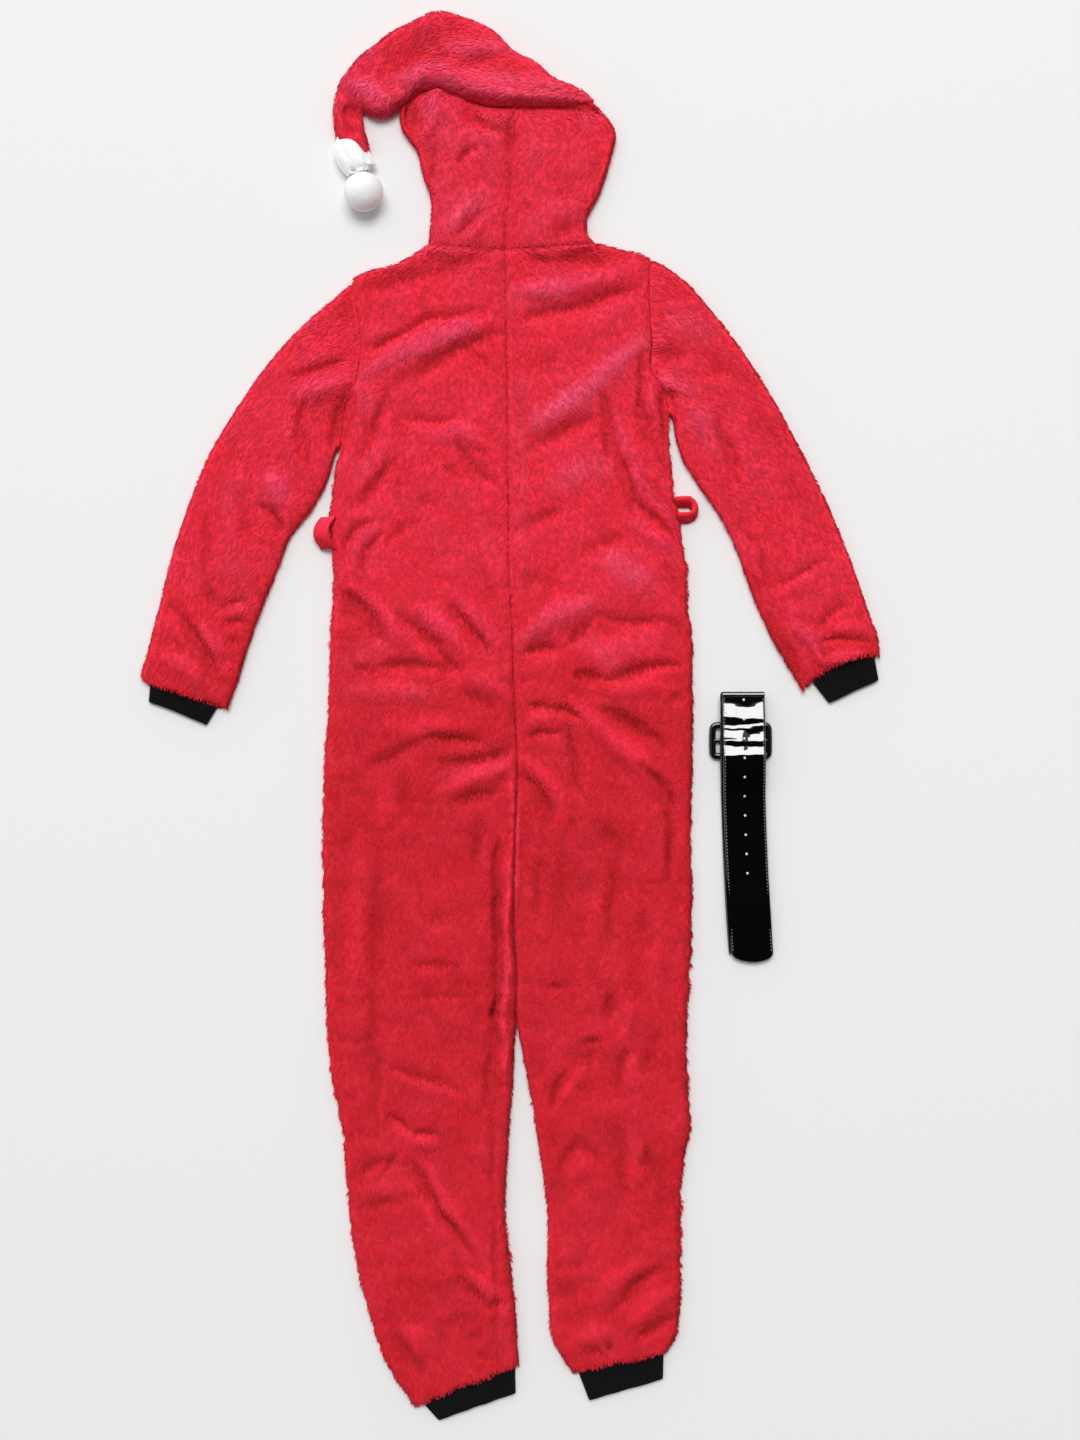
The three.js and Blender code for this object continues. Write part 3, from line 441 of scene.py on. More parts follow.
            (455, 237, 483, 210, 0, 4, -2.4),
            (464, 240, 486, 218, 0, 5, 1.8),
            (447, 196, 470, 180, 0, 9, -1.0),
            (513, 112, 512, 160, 0, 4, -3.2),
            (466, 101, 514, 109, 0, 6, -5.5),
            (510, 109, 594, 111, 0, 5, -6.0),
            (404, 100, 410, 126, 0, 7, -5.0),
            (545, 238, 584, 229, 2, 8, -1.8),
            (528, 232, 586, 204, 4, 10, 1.3),
            (592, 158, 602, 182, 0, 6, -1.4),
            (540, 126, 560, 160, 0, 20, 0.8),
        ],
    ),
    "point": table(
        CREASE_NAMES,
        [
            (446, 34, 386, 76, 3, 11, -4.2),
            (470, 28, 446, 36, 0, 8, -2.4),
            (410, 72, 436, 53, -2, 7, 3),
            (436, 53, 520, 50, -4, 7, 2.6),
            (418, 64, 452, 62, 0, 6, -3.2),
            (458, 68, 478, 74, 0, 5, -2.4),
            (470, 72, 506, 60, 2, 7, -2.8),
            (394, 82, 436, 68, -4, 7, 4),
            (436, 70, 468, 80, -3, 7, 3.4),
            (466, 82, 580, 92, -2, 7, 2.6),
            (352, 86, 388, 104, 2, 8, 6),
            (344, 110, 364, 122, 0, 7, -7),
            (356, 66, 380, 50, 0, 12, 1.6),
            (342, 100, 340, 130, 0, 6, 2),
            (347, 124, 352, 142, 0, 4, -2.6),
            (560, 86, 584, 100, 0, 5, -1.6),
        ],
    ),
}

# Patches where the pile has been brushed up and catches the light, shown as a painted highlight in the tip colour: a
# line, its spread and its strength.
BRUSH_HIGHLIGHTS = table(
    "from_x from_y to_x to_y width strength",
    [
        (536, 420, 592, 388, 9, 1.0),
        (592, 386, 640, 340, 9, 0.8),
        (516, 298, 560, 290, 10, 0.55),
        (558, 480, 598, 466, 12, 0.5),
        (612, 560, 646, 584, 12, 0.5),
        (590, 640, 610, 662, 10, 0.4),
        (345, 662, 385, 642, 9, 0.35),
        (520, 380, 524, 560, 7, 0.25),
        (672, 320, 700, 332, 14, 0.35),
        (666, 380, 690, 390, 9, 0.5),
        (698, 420, 712, 450, 12, 0.45),
        (274, 478, 284, 500, 11, 0.4),
        (240, 560, 244, 600, 12, 0.3),
        (366, 374, 470, 328, 7, 0.4),
        (440, 110, 456, 240, 20, 0.3),
        (490, 110, 492, 236, 14, 0.25),
        (534, 120, 540, 236, 16, 0.25),
        (580, 110, 576, 220, 14, 0.22),
        (450, 226, 486, 196, 8, 0.7),
        (353, 86, 386, 104, 9, 0.7),
        (396, 98, 432, 84, 6, 0.5),
        (440, 84, 508, 98, 6, 0.7),
        (508, 98, 580, 99, 6, 0.7),
        (398, 82, 440, 68, 8, 0.5),
        (436, 52, 510, 50, 9, 0.35),
        (470, 78, 560, 92, 8, 0.45),
        (440, 776, 506, 762, 7, 0.35),
        (524, 636, 590, 604, 8, 0.35),
        (350, 690, 430, 696, 9, 0.3),
    ],
)

# ---------- settings ----------


class PlushSettings(bpy.types.PropertyGroup):
    """Sizes and colours of the plush"""

    pile_length: bpy.props.FloatProperty(
        name="Pile length", description="Length of a lock of pile", default=5.6 * MM, unit="LENGTH"
    )
    lock_width: bpy.props.FloatProperty(
        name="Lock width", description="Width of a lock of pile", default=1.7 * MM, unit="LENGTH"
    )
    lock_area: bpy.props.FloatProperty(
        name="Area per lock", description="Cloth covered by one lock", default=6.0e-6, unit="AREA"
    )
    grid: bpy.props.FloatProperty(
        name="Mesh spacing", description="Distance between a shell's points", default=2.3 * MM, unit="LENGTH"
    )
    # darkest colour of the ramp, reached only by painted shade in the deepest hollows
    gap: bpy.props.StringProperty(name="Gap colour", description="In closed hollows, sRGB", default="#5E0710")
    # deep: the ground of the pile, which painted shade pulls the cloth towards
    deep: bpy.props.StringProperty(name="Deep colour", description="Down in the pile, sRGB", default="#C8181C")
    face: bpy.props.StringProperty(name="Face colour", description="Pile face, sRGB", default="#FA2C3F")
    glow: bpy.props.StringProperty(name="Glow colour", description="Pile turned to the light, sRGB", default="#FF4268")
    # tip: the colour of the painted highlight on brushed patches, and the tint of the sheen
    tip: bpy.props.StringProperty(name="Tip colour", description="Brushed tips, sRGB", default="#FF6A90")
    white: bpy.props.StringProperty(name="White plush", description="Pompom and frill, sRGB", default="#F4F2F3")


class KnitSettings(bpy.types.PropertyGroup):
    """Sizes and colour of the rib-knit cuffs"""

    rib_pitch: bpy.props.FloatProperty(
        name="Rib pitch", description="Distance between two ribs", default=2.6 * MM, unit="LENGTH"
    )
    colour: bpy.props.StringProperty(name="Colour", description="Knit colour, sRGB", default="#0B0B0D")


class BeltSettings(bpy.types.PropertyGroup):
    """Sizes and colours of the belt"""

    half_width: bpy.props.FloatProperty(
        name="Half width", description="Half of the strap's width", default=26.5 * MM, unit="LENGTH"
    )
    thickness: bpy.props.FloatProperty(
        name="Thickness", description="Thickness of the strap", default=2.1 * MM, unit="LENGTH"
    )
    stitch_pitch: bpy.props.FloatProperty(
        name="Stitch pitch", description="Distance between two stitches", default=4.0 * MM, unit="LENGTH"
    )
    patent: bpy.props.StringProperty(name="Patent", description="Vinyl colour, sRGB", default="#050506")
    thread: bpy.props.StringProperty(name="Thread", description="Stitch colour, sRGB", default="#98948C")
    # pale fibre core in the holes, made pale enough to stand for the glints on their rims: part painted highlight
    core: bpy.props.StringProperty(name="Core", description="Fibre core in the holes, sRGB", default="#E9E7E2")


class StageSettings(bpy.types.PropertyGroup):
    """Floor, light and camera"""

    floor: bpy.props.StringProperty(name="Floor", description="Floor colour, sRGB", default="#F2F2F2")
    sky: bpy.props.FloatProperty(name="Sky", description="Strength of the light from all round", default=0.5)
    key: bpy.props.FloatProperty(name="Key", description="Power of the strip lamp", default=1275.0, unit="POWER")
    height: bpy.props.FloatProperty(
        name="Camera height", description="Camera above the floor", default=2.406, unit="LENGTH"
    )


# ---------- helpers ----------


def linear(text):
    """An sRGB hex colour as linear RGBA."""
    parts = [int(text[i : i + 2], 16) / 255 for i in (1, 3, 5)]
    return (*[p / 12.92 if p <= 0.04045 else ((p + 0.055) / 1.055) ** 2.4 for p in parts], 1.0)


def on_sheet(x, y):
    """A place on the layout sheet, in millimetres."""
    return ((x - SHEET_MIDDLE[0]) * SQUARE, (SHEET_MIDDLE[1] - y) * SQUARE)


def lumps(x, y, size, seed):
    """Smooth noise from -1 to 1 whose lumps are about size across."""
    count = 61
    lattice = np.random.default_rng(seed).uniform(-1, 1, (count, count))
    gx, gy = np.asarray(x) / size + 900.3, np.asarray(y) / size + 900.7
    ix, iy = np.floor(gx).astype(int), np.floor(gy).astype(int)
    fx, fy = gx - ix, gy - iy
    fx, fy = fx * fx * (3 - 2 * fx), fy * fy * (3 - 2 * fy)
    corner = [[lattice[(ix + i) % count, (iy + j) % count] for j in (0, 1)] for i in (0, 1)]
    low = corner[0][0] * (1 - fx) + corner[1][0] * fx
    high = corner[0][1] * (1 - fx) + corner[1][1] * fx
    return low * (1 - fy) + high * fy


def rounded(inset, radius):
    """How a top rises from an edge: 0 on the edge, 1 from the radius inwards."""
    t = np.clip(np.asarray(inset) / radius, 0, 1)
    return np.sqrt(1 - (1 - t) ** 2)


def smooth_between(points, spacing):
    """A smooth run through rows of numbers; the first two columns are a place, which sets the spacing.
    Returns the finer rows and, for each, its share of the table's row number."""
    points = np.asarray(points, float)
    steps = np.maximum(np.linalg.norm(np.diff(points[:, :2], axis=0), axis=1), 1e-6)
    along = np.concatenate([[0], np.cumsum(steps)])
    slope = np.diff(points, axis=0) / steps[:, None]
    tangent = np.empty_like(points)
    tangent[0], tangent[-1] = slope[0], slope[-1]
    ahead, behind = steps[1:, None], steps[:-1, None]
    tangent[1:-1] = (slope[1:] * behind + slope[:-1] * ahead) / (ahead + behind)
    at = np.linspace(0, along[-1], max(2, int(along[-1] / spacing) + 1))
    i = np.clip(np.searchsorted(along, at, side="right") - 1, 0, len(steps) - 1)
    h = steps[i][:, None]
    t = ((at - along[i]) / steps[i])[:, None]
    fine = (
        (2 * t**3 - 3 * t**2 + 1) * points[i]
        + (t**3 - 2 * t**2 + t) * h * tangent[i]
        + (3 * t**2 - 2 * t**3) * points[i + 1]
        + (t**3 - t**2) * h * tangent[i + 1]
    )
    return fine, i + t[:, 0]


def off_line(x, y, row, bow=0.0):
    """Distance of each place from a line of a table, and its share along that line."""
    x0, y0 = on_sheet(row["from_x"], row["from_y"])
    x1, y1 = on_sheet(row["to_x"], row["to_y"])
    dx, dy = x1 - x0, y1 - y0
    length = math.hypot(dx, dy)
    t = np.clip(((x - x0) * dx + (y - y0) * dy) / length**2, 0, 1)
    bend = bow * SQUARE * 4 * t * (1 - t)
    return np.hypot(x - x0 - t * dx + bend * dy / length, y - y0 - t * dy - bend * dx / length), t


CREASE_DEPTH = 1.35  # how much deeper the creases lie than their table says
DEEPEST = 6.5  # no crease lifts or sinks the cloth by more
WRINKLE = 0.8  # height of the small wrinkles
STRAY = 3.0  # how far a crease wanders from its line


def creases(piece, x, y):
    """Height that a piece's creases add at each place."""
    lift = np.zeros_like(x)
    wander_x = x + STRAY * lumps(x, y, 31, 14) + lumps(x, y, 11, 15)
    wander_y = y + STRAY * lumps(x, y, 31, 16) + lumps(x, y, 11, 17)
    for row in CREASES[piece]:
        away, t = off_line(wander_x, wander_y, row, row["bow"])
        belly = np.sin(math.pi * t)
        spread = row["width"] * SQUARE * (0.7 + 0.45 * belly)
        lift += row["lift"] * (0.1 + 0.9 * belly**0.75) * np.exp(-((away / spread) ** 2))
    return DEEPEST * np.tanh((lift * CREASE_DEPTH + wrinkles(x, y)) / DEEPEST)


def wrinkles(x, y):
    """Small wrinkles that no table places: thin hollows between soft swellings, mostly across the body."""
    u, v = x + 9 * lumps(x, y, 55, 23), y + 9 * lumps(x, y, 55, 24)
    across = np.abs(lumps(0.55 * u + 0.25 * v, v, 24, 25))
    slanting = np.abs(lumps(u + 0.4 * v, 0.5 * v - 0.5 * u, 30, 26))
    return WRINKLE * ((across - 0.3) + 0.8 * (slanting - 0.3))


def brushed(x, y):
    """How strongly the pile is brushed up at each place, from 0 to 1; the same value sets its painted highlight."""
    strength = np.zeros_like(x)
    for row in BRUSH_HIGHLIGHTS:
        away, _ = off_line(x, y, row)
        strength = np.maximum(strength, row["strength"] * np.exp(-((away / (row["width"] * SQUARE)) ** 2)))
    grain = 0.75 + 0.45 * lumps(x + 0.5 * y, y - 0.3 * x, 4.0, 41)
    return np.clip(0.85 * strength * grain + 0.06 * (1 + lumps(x, y, 26, 42)), 0, 1)


def mesh_object(name, points, faces, values=None, smooth=True, normals=None):
    """An object made of points in millimetres, faces of equal length, and values for each point."""
    mesh = bpy.data.meshes.new(name)
    faces = np.asarray(faces, np.int32)
    count, size = faces.shape
    mesh.vertices.add(len(points))
    mesh.vertices.foreach_set("co", (np.asarray(points, np.float32) * MM).ravel())
    mesh.loops.add(count * size)
    mesh.loops.foreach_set("vertex_index", faces.ravel())
    mesh.polygons.add(count)
    mesh.polygons.foreach_set("loop_start", np.arange(0, count * size, size, dtype=np.int32))
    mesh.update(calc_edges=True)
    mesh.polygons.foreach_set("use_smooth", np.full(count, smooth))
    for key, value in (values or {}).items():
        layer = mesh.attributes.new(key, "FLOAT", "POINT")
        layer.data.foreach_set("value", np.asarray(value, np.float32).ravel())
    if normals is not None:
        mesh.normals_split_custom_set_from_vertices(np.asarray(normals, np.float32))
    made = bpy.data.objects.new(name, mesh)
    bpy.context.scene.collection.objects.link(made)
    return made


def grid_faces(rows, columns, ring=False):
    """Quads over a grid of points; a ring's last column joins its first."""
    row, column = np.meshgrid(np.arange(rows - 1), np.arange(columns if ring else columns - 1), indexing="ij")
    after = (column + 1) % columns
    a, b = row * columns + column, row * columns + after
    return np.stack([a, b, b + columns, a + columns], axis=-1).reshape(-1, 4)


def grid_normals(grid, ring=False):
    """Unit normals over a grid of points, which follow the order of its faces."""
    if ring:
        across = np.roll(grid, -1, axis=1) - np.roll(grid, 1, axis=1)
    else:
        across = np.gradient(grid, axis=1)
    down = np.gradient(grid, axis=0)
    normal = np.cross(across, down)
    return normal / np.maximum(np.linalg.norm(normal, axis=-1, keepdims=True), 1e-9)


def facing_out(grid, ring=False):
    """The grid with its columns in the order that turns the normals of its upper part upwards."""
    upper = grid[..., 2] > (grid[..., 2].min() + grid[..., 2].max()) / 2
    return grid if grid_normals(grid, ring)[upper][:, 2].sum() > 0 else grid[:, ::-1]


def add_node(tree, kind, values=None, links=None, **settings):
    """Adds a node with its settings, the values of its sockets and the links into them."""
    made = tree.nodes.new(kind)
    for key, value in settings.items():
        setattr(made, key, value)
    for key, value in (values or {}).items():
        made.inputs[key].default_value = value
    for key, source in (links or {}).items():
        tree.links.new(source, made.inputs[key])
    return made


def new_material(name):
    """A material with its tree and nothing in it but the output."""
    made = bpy.data.materials.new(name)
    made.use_nodes = True
    made.node_tree.nodes.clear()
    return made, made.node_tree, made.node_tree.nodes.new("ShaderNodeOutputMaterial")


# ---------- materials ----------


def plush_material(name, gap, deep, face, glow, tip, sheen):
    """Polyester plush, brushed and sheared: matt ground, tips lightened by painted highlight, and a soft sheen at flat
    angles.
    """
    made, tree, output = new_material(name)
    where = add_node(tree, "ShaderNodeTexCoord")
    # the attributes: painted shade from root to tip, mottle with painted light and shade, and painted highlight on
    # brushed patches
    high = add_node(tree, "ShaderNodeAttribute", attribute_name="high").outputs["Fac"]
    tone = add_node(tree, "ShaderNodeAttribute", attribute_name="tone").outputs["Fac"]
    brush_highlight = add_node(tree, "ShaderNodeAttribute", attribute_name="brush_highlight").outputs["Fac"]
    cloud = add_node(
        tree,
        "ShaderNodeTexNoise",
        {"Scale": 1 / (28 * MM), "Detail": 3.0, "Roughness": 0.6},
        {"Vector": where.outputs["Object"]},
    )
    shifted = add_node(
        tree, "ShaderNodeMath", {1: 0.42}, {0: tone, 2: high}, operation="MULTIPLY_ADD"
    ).outputs[0]
    lifted = add_node(tree, "ShaderNodeMath", {1: 0.05}, {0: shifted}, operation="ADD").outputs[0]
    clouded = add_node(
        tree, "ShaderNodeMath", {1: 0.2}, {0: cloud.outputs["Fac"], 2: lifted}, operation="MULTIPLY_ADD"
    ).outputs[0]
    # painted shade moves the colour down this ramp towards its dark stops, painted light up towards its glow stop
    body = add_node(tree, "ShaderNodeValToRGB", links={"Fac": clouded})
    ramp = body.color_ramp
    ramp.elements[0].position, ramp.elements[0].color = 0.0, linear(gap)
    ramp.elements[1].position, ramp.elements[1].color = 1.0, linear(glow)
    ramp.elements.new(0.14).color = linear(deep)
    ramp.elements.new(0.5).color = linear(face)
    # brushed patches are mixed towards the tip colour: painted highlight
    brush = add_node(tree, "ShaderNodeMath", {}, {0: brush_highlight, 1: clouded}, operation="MULTIPLY").outputs[0]
    colour = add_node(
        tree,
        "ShaderNodeMix",
        {7: linear(tip)},
        {0: brush, 6: body.outputs["Color"]},
        data_type="RGBA",
        clamp_factor=True,
    )
    fibres = add_node(
        tree,
        "ShaderNodeTexNoise",
        {"Scale": 1 / (1.1 * MM), "Detail": 2.0, "Roughness": 0.7},
        {"Vector": where.outputs["Object"]},
    )
    bump = add_node(
        tree, "ShaderNodeBump", {"Strength": 0.35, "Distance": 0.6 * MM}, {"Height": fibres.outputs["Fac"]}
    )
    shader = add_node(
        tree,
        "ShaderNodeBsdfPrincipled",
        {
            "Roughness": 0.9,
            "Specular IOR Level": 0.25,
            "Sheen Weight": sheen,
            "Sheen Roughness": 0.45,
            "Sheen Tint": linear(tip),
        },
        {"Base Color": colour.outputs[2], "Normal": bump.outputs["Normal"]},
    )
    tree.links.new(shader.outputs["BSDF"], output.inputs["Surface"])
    return made


def red_plush():
    """Dyed red polyester plush; its brushed tips are painted pinker and paler than its ground, as highlight."""
    plush = bpy.context.scene.onesie_plush
    found = bpy.data.materials.get("brushed_red_plush")
    return found or plush_material("brushed_red_plush", plush.gap, plush.deep, plush.face, plush.glow, plush.tip, 0.35)


def white_plush():
    """Undyed short plush of the pompom and frill; close to the floor in brightness."""
    plush = bpy.context.scene.onesie_plush
    found = bpy.data.materials.get("white_plush")
    # its near-black lowest stop is reached by painted shade in the frill's gathers
    return found or plush_material("white_plush", "#1E1B1C", "#F3EFF1", plush.white, "#FFFFFF", "#FFFFFF", 0.2)


def rib_knit():
    """Black cotton rib with elastane: deep matt black that swallows the light between its ribs."""
    found = bpy.data.materials.get("black_rib_knit")
    if found:
        return found
    made, tree, output = new_material("black_rib_knit")
    where = add_node(tree, "ShaderNodeTexCoord")
    stitch = add_node(
        tree,
        "ShaderNodeTexNoise",
        {"Scale": 1 / (1.2 * MM), "Detail": 2.0},  # stitches are 0.9 mm; drawn a little coarser to show
        {"Vector": where.outputs["Object"]},
    )
    bump = add_node(
        tree, "ShaderNodeBump", {"Strength": 0.4, "Distance": 0.3 * MM}, {"Height": stitch.outputs["Fac"]}
    )
    shader = add_node(
        tree,
        "ShaderNodeBsdfPrincipled",
        {
            "Base Color": linear(bpy.context.scene.onesie_knit.colour),
            "Roughness": 0.95,
            "Specular IOR Level": 0.15,
            "Sheen Weight": 0.05,
            "Sheen Roughness": 0.5,
        },
        {"Normal": bump.outputs["Normal"]},
    )
    tree.links.new(shader.outputs["BSDF"], output.inputs["Surface"])
    return made


def patent_vinyl():
    """Patent vinyl: a poured, mirror-smooth black coat over cloth, with a faint long ripple."""
    found = bpy.data.materials.get("black_patent_vinyl")
    if found:
        return found
    made, tree, output = new_material("black_patent_vinyl")
    where = add_node(tree, "ShaderNodeTexCoord")
    ripple = add_node(
        tree,
        "ShaderNodeTexNoise",
        {"Scale": 1 / (9 * MM), "Detail": 2.0, "Roughness": 0.5},
        {"Vector": where.outputs["Object"]},
    )
    bump = add_node(
        tree, "ShaderNodeBump", {"Strength": 0.3, "Distance": 0.5 * MM}, {"Height": ripple.outputs["Fac"]}
    )
    shader = add_node(
        tree,
        "ShaderNodeBsdfPrincipled",
        {
            "Base Color": linear(bpy.context.scene.onesie_belt.patent),
            "Roughness": 0.06,
            "IOR": 1.65,
            "Coat Weight": 1.0,
            "Coat IOR": 1.6,
            "Coat Roughness": 0.03,
        },
        {"Normal": bump.outputs["Normal"]},
    )
    tree.links.new(shader.outputs["BSDF"], output.inputs["Surface"])
    return made


def moulded_black():
    """Injection-moulded ABS, polished in the mould: glossy, with round-edged highlights."""
    found = bpy.data.materials.get("glossy_black_abs")
    if found:
        return found
    made, tree, output = new_material("glossy_black_abs")
    where = add_node(tree, "ShaderNodeTexCoord")
    flow = add_node(
        tree,
        "ShaderNodeTexNoise",
        {"Scale": 1 / (5 * MM), "Detail": 2.0},
        {"Vector": where.outputs["Object"]},
    )
    gloss = add_node(
        tree, "ShaderNodeMapRange", {"To Min": 0.08, "To Max": 0.2}, {"Value": flow.outputs["Fac"]}
    )
    shader = add_node(
        tree,
        "ShaderNodeBsdfPrincipled",
        {"Base Color": linear("#060607"), "IOR": 1.54, "Coat Weight": 0.3, "Coat Roughness": 0.05},
        {"Roughness": gloss.outputs["Result"]},
    )
    tree.links.new(shader.outputs["BSDF"], output.inputs["Surface"])
    return made


def plain_cloth(name, colour, roughness, grain):
    """Thread, tape or fibre: a matt colour broken up at the size of its grain, in millimetres."""
    found = bpy.data.materials.get(name)
    if found:
        return found
    made, tree, output = new_material(name)
    where = add_node(tree, "ShaderNodeTexCoord")
    weave = add_node(
        tree,
        "ShaderNodeTexNoise",
        {"Scale": 1 / (grain * MM), "Detail": 2.0},
        {"Vector": where.outputs["Object"]},
    )
    shade = add_node(
        tree, "ShaderNodeMapRange", {"To Min": 0.7, "To Max": 1.15}, {"Value": weave.outputs["Fac"]}
    )
    tinted = add_node(
        tree,
        "ShaderNodeMix",
        {0: 1.0, 6: linear(colour)},
        {7: shade.outputs["Result"]},
        data_type="RGBA",
        blend_type="MULTIPLY",
    )
    bump = add_node(
        tree, "ShaderNodeBump", {"Strength": 0.3, "Distance": 0.2 * MM}, {"Height": weave.outputs["Fac"]}
    )
    shader = add_node(
        tree,
        "ShaderNodeBsdfPrincipled",
        {"Roughness": roughness},
        {"Base Color": tinted.outputs[2], "Normal": bump.outputs["Normal"]},
    )
    tree.links.new(shader.outputs["BSDF"], output.inputs["Surface"])
    return made


# ---------- pile ----------

LAMP_SIDE = np.array([-0.45, 0.89, 0.0])  # towards the key lamp: cloth tilted this way is painted lighter, cloth tilted away painted darker
# gain and lowest value of the painted tilt shade, and how much lighter the point's flank turned from the lamp is
# painted
TILT_SHADE_GAIN, TILT_SHADE_FLOOR, POINT_FLANK_LIGHTENING = 0.8, -0.45, -0.9
# how much lighter a ridge and darker a hollow is painted, per millimetre of crease
FOLD_SHADE_GAIN = 0.15
FOLD_SHADE_EASE, FOLD_SHADE_DEEPENS = 2.4, 5.5  # depths: over the first a hollow's painted shade levels off, past the second it deepens again
GATHER_SHADE = 0.16
# waist line, and how much darker the plush is 200 mm below it
WAIST, BELOW_WAIST_DARKENING = 190.0, 0.5


def tilt_shade_and_waist_darkening(normal, y, piece):
    """Painted light and shade by tilt: cloth that tilts towards the head and left, where the key lamp is, is painted
    lighter, and cloth that tilts away darker. On the folded point the flank turned away is painted lighter too. From
    the waist down it is darker."""
    towards = np.maximum(normal @ LAMP_SIDE, TILT_SHADE_FLOOR)
    if piece == "point":
        towards = np.where(towards < 0, POINT_FLANK_LIGHTENING * towards, towards)
    return TILT_SHADE_GAIN * towards - BELOW_WAIST_DARKENING * np.clip((WAIST - y) / 200, 0, 1)


def mottle_and_fold_shade(piece, x, y):
    """Faint mottle everywhere, and on creased pieces painted light and shade: lighter on what is lifted, darker in what
    is sunk.
    """
    soft = 0.07 * lumps(x, y, 30, 18) + 0.05 * lumps(x, y, 13, 19)
    if piece not in CREASES:
        return soft
    height = creases(piece, x, y)
    sunk = np.minimum(height, 0)
    shaded = FOLD_SHADE_EASE * (np.exp(sunk / FOLD_SHADE_EASE) - 1) + np.minimum(height + FOLD_SHADE_DEEPENS, 0)
    return soft + FOLD_SHADE_GAIN * (np.maximum(height, 0) + shaded)


def plush_values(grid, ring, piece):
    """The values that the plush material reads, for a shell's points."""
    x, y = grid[..., 0], grid[..., 1]
    tone = 0.06 * lumps(x, y, 5, 7) + tilt_shade_and_waist_darkening(grid_normals(grid, ring), y, piece) + mottle_and_fold_shade(piece, x, y)
    if piece == "frill":
        tone -= GATHER_SHADE * gathered(x, y)
    # shells sit low on the locks' painted root-to-tip shading
    return {"high": np.full(x.shape, 0.35), "tone": tone, "brush_highlight": brushed(x, y)}


def locks(name, grid, material, seed, ring=False, area=None, length=None, lay=0.0, fringe=0.0, piece=""):
    """Locks of pile over a grid of points: flat leaves that lie down the rows and rise at their tips.
    lay turns them, in radians; fringe makes steep cloth denser; piece picks the creases whose painted light and shade
    they take."""
    plush = bpy.context.scene.onesie_plush
    area = area or plush.lock_area / MM**2
    length = length or plush.pile_length / MM
    chance = np.random.default_rng(seed)
    normal = grid_normals(grid, ring)
    a = grid[:-1, :-1]
    across = grid[:-1, 1:] - a
    down = grid[1:, :-1] - a
    size = np.linalg.norm(np.cross(across, down), axis=-1)
    steep = 1 + fringe * (1 - np.abs(normal[:-1, :-1, 2]))
    weight = (size * steep).ravel()
    count = int(weight.sum() / area)
    cell = chance.choice(weight.size, count, p=weight / weight.sum())
    s, t = chance.random((2, count, 1))
    pick = [array.reshape(-1, 3)[cell] for array in (a, across, down, normal[:-1, :-1])]
    root = pick[0] + s * pick[1] + t * pick[2]
    up = pick[3]
    x, y = root[:, 0], root[:, 1]
    brush_highlight = brushed(x, y)
    run = pick[2] / np.maximum(np.linalg.norm(pick[2], axis=1, keepdims=True), 1e-6)
    side = np.cross(up, run)
    angle = lay + 0.4 * lumps(x, y, 30, seed + 1) + 0.22 * lumps(x, y, 9, seed + 2)
    angle = (angle + chance.normal(0, 0.24, count))[:, None]
    lean = run * np.cos(angle) + side * np.sin(angle)
    wide = np.cross(up, lean)
    reach = (length * (0.75 + 0.5 * chance.random(count)) * (1 + 0.35 * brush_highlight))[:, None]
    half = (0.5 * plush.lock_width / MM * (0.7 + 0.6 * chance.random(count)) * (1 - 0.3 * brush_highlight))[:, None]
    rise = (0.2 + 0.2 * chance.random(count) + 0.1 * brush_highlight)[:, None]
    root = root - 0.3 * up
    middle = root + lean * reach * 0.45 + up * reach * rise * 0.8
    tip = root + lean * reach + up * reach * rise
    points = np.stack([root, middle - wide * half, tip, middle + wide * half], axis=1)
    points[..., 2] = np.maximum(points[..., 2], 0.3)
    twist = chance.normal(0, 0.22, (count, 1))
    shown = up + lean * 0.25 + wide * twist
    shown = shown / np.linalg.norm(shown, axis=1, keepdims=True)
    tone = chance.normal(0, 0.07, count) + 0.05 * lumps(x, y, 9, seed + 3)
    tone += tilt_shade_and_waist_darkening(up, y, piece) + mottle_and_fold_shade(piece, x, y)
    # darker at the root, lighter at the tip: painted shade down in the pile and painted highlight on the tips
    high = np.tile([0.28, 0.42, 0.57, 0.42], count)
    faces = np.arange(4 * count).reshape(-1, 4)
    values = {"high": high, "tone": np.repeat(tone, 4), "brush_highlight": np.repeat(brush_highlight, 4)}
    made = mesh_object(name, points.reshape(-1, 3), faces, values, True, np.repeat(shown, 4, axis=0))
    made.data.materials.append(material)
    return of_node(made)


def of_node(made):
    """Lets a piece ride on the body."""
    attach(made, "root")
    return made


def shell(name, grid, material, ring=False, piece=""):
    """A shell of cloth through a grid of points, which stands for the node that its name starts with."""
    values = {key: value.ravel() for key, value in plush_values(grid, ring, piece).items()}
    rows, columns = grid.shape[:2]
    made = mesh_object(name, grid.reshape(-1, 3), grid_faces(rows, columns, ring), values)
    made.data.materials.append(material)
    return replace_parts(of_node(made), name.rpartition("_")[0])


def surface_lumps(x, y):
    """Unevenness of the plush face, in millimetres."""
    broad = 0.8 * lumps(x, y, 70, 10) + 0.4 * lumps(x, y, 27, 11)
    return broad + 0.12 * lumps(x, y, 8, 12) + 0.07 * lumps(x, y, 4.2, 13)


# ---------- body ----------

BODY_HEIGHT, BODY_EDGE = 10.0, 5.8
HEM_ROUND = 5.0  # how far from a hem the cloth turns down
HEM_WAVE = 3.0  # how far the hems of the legs swing


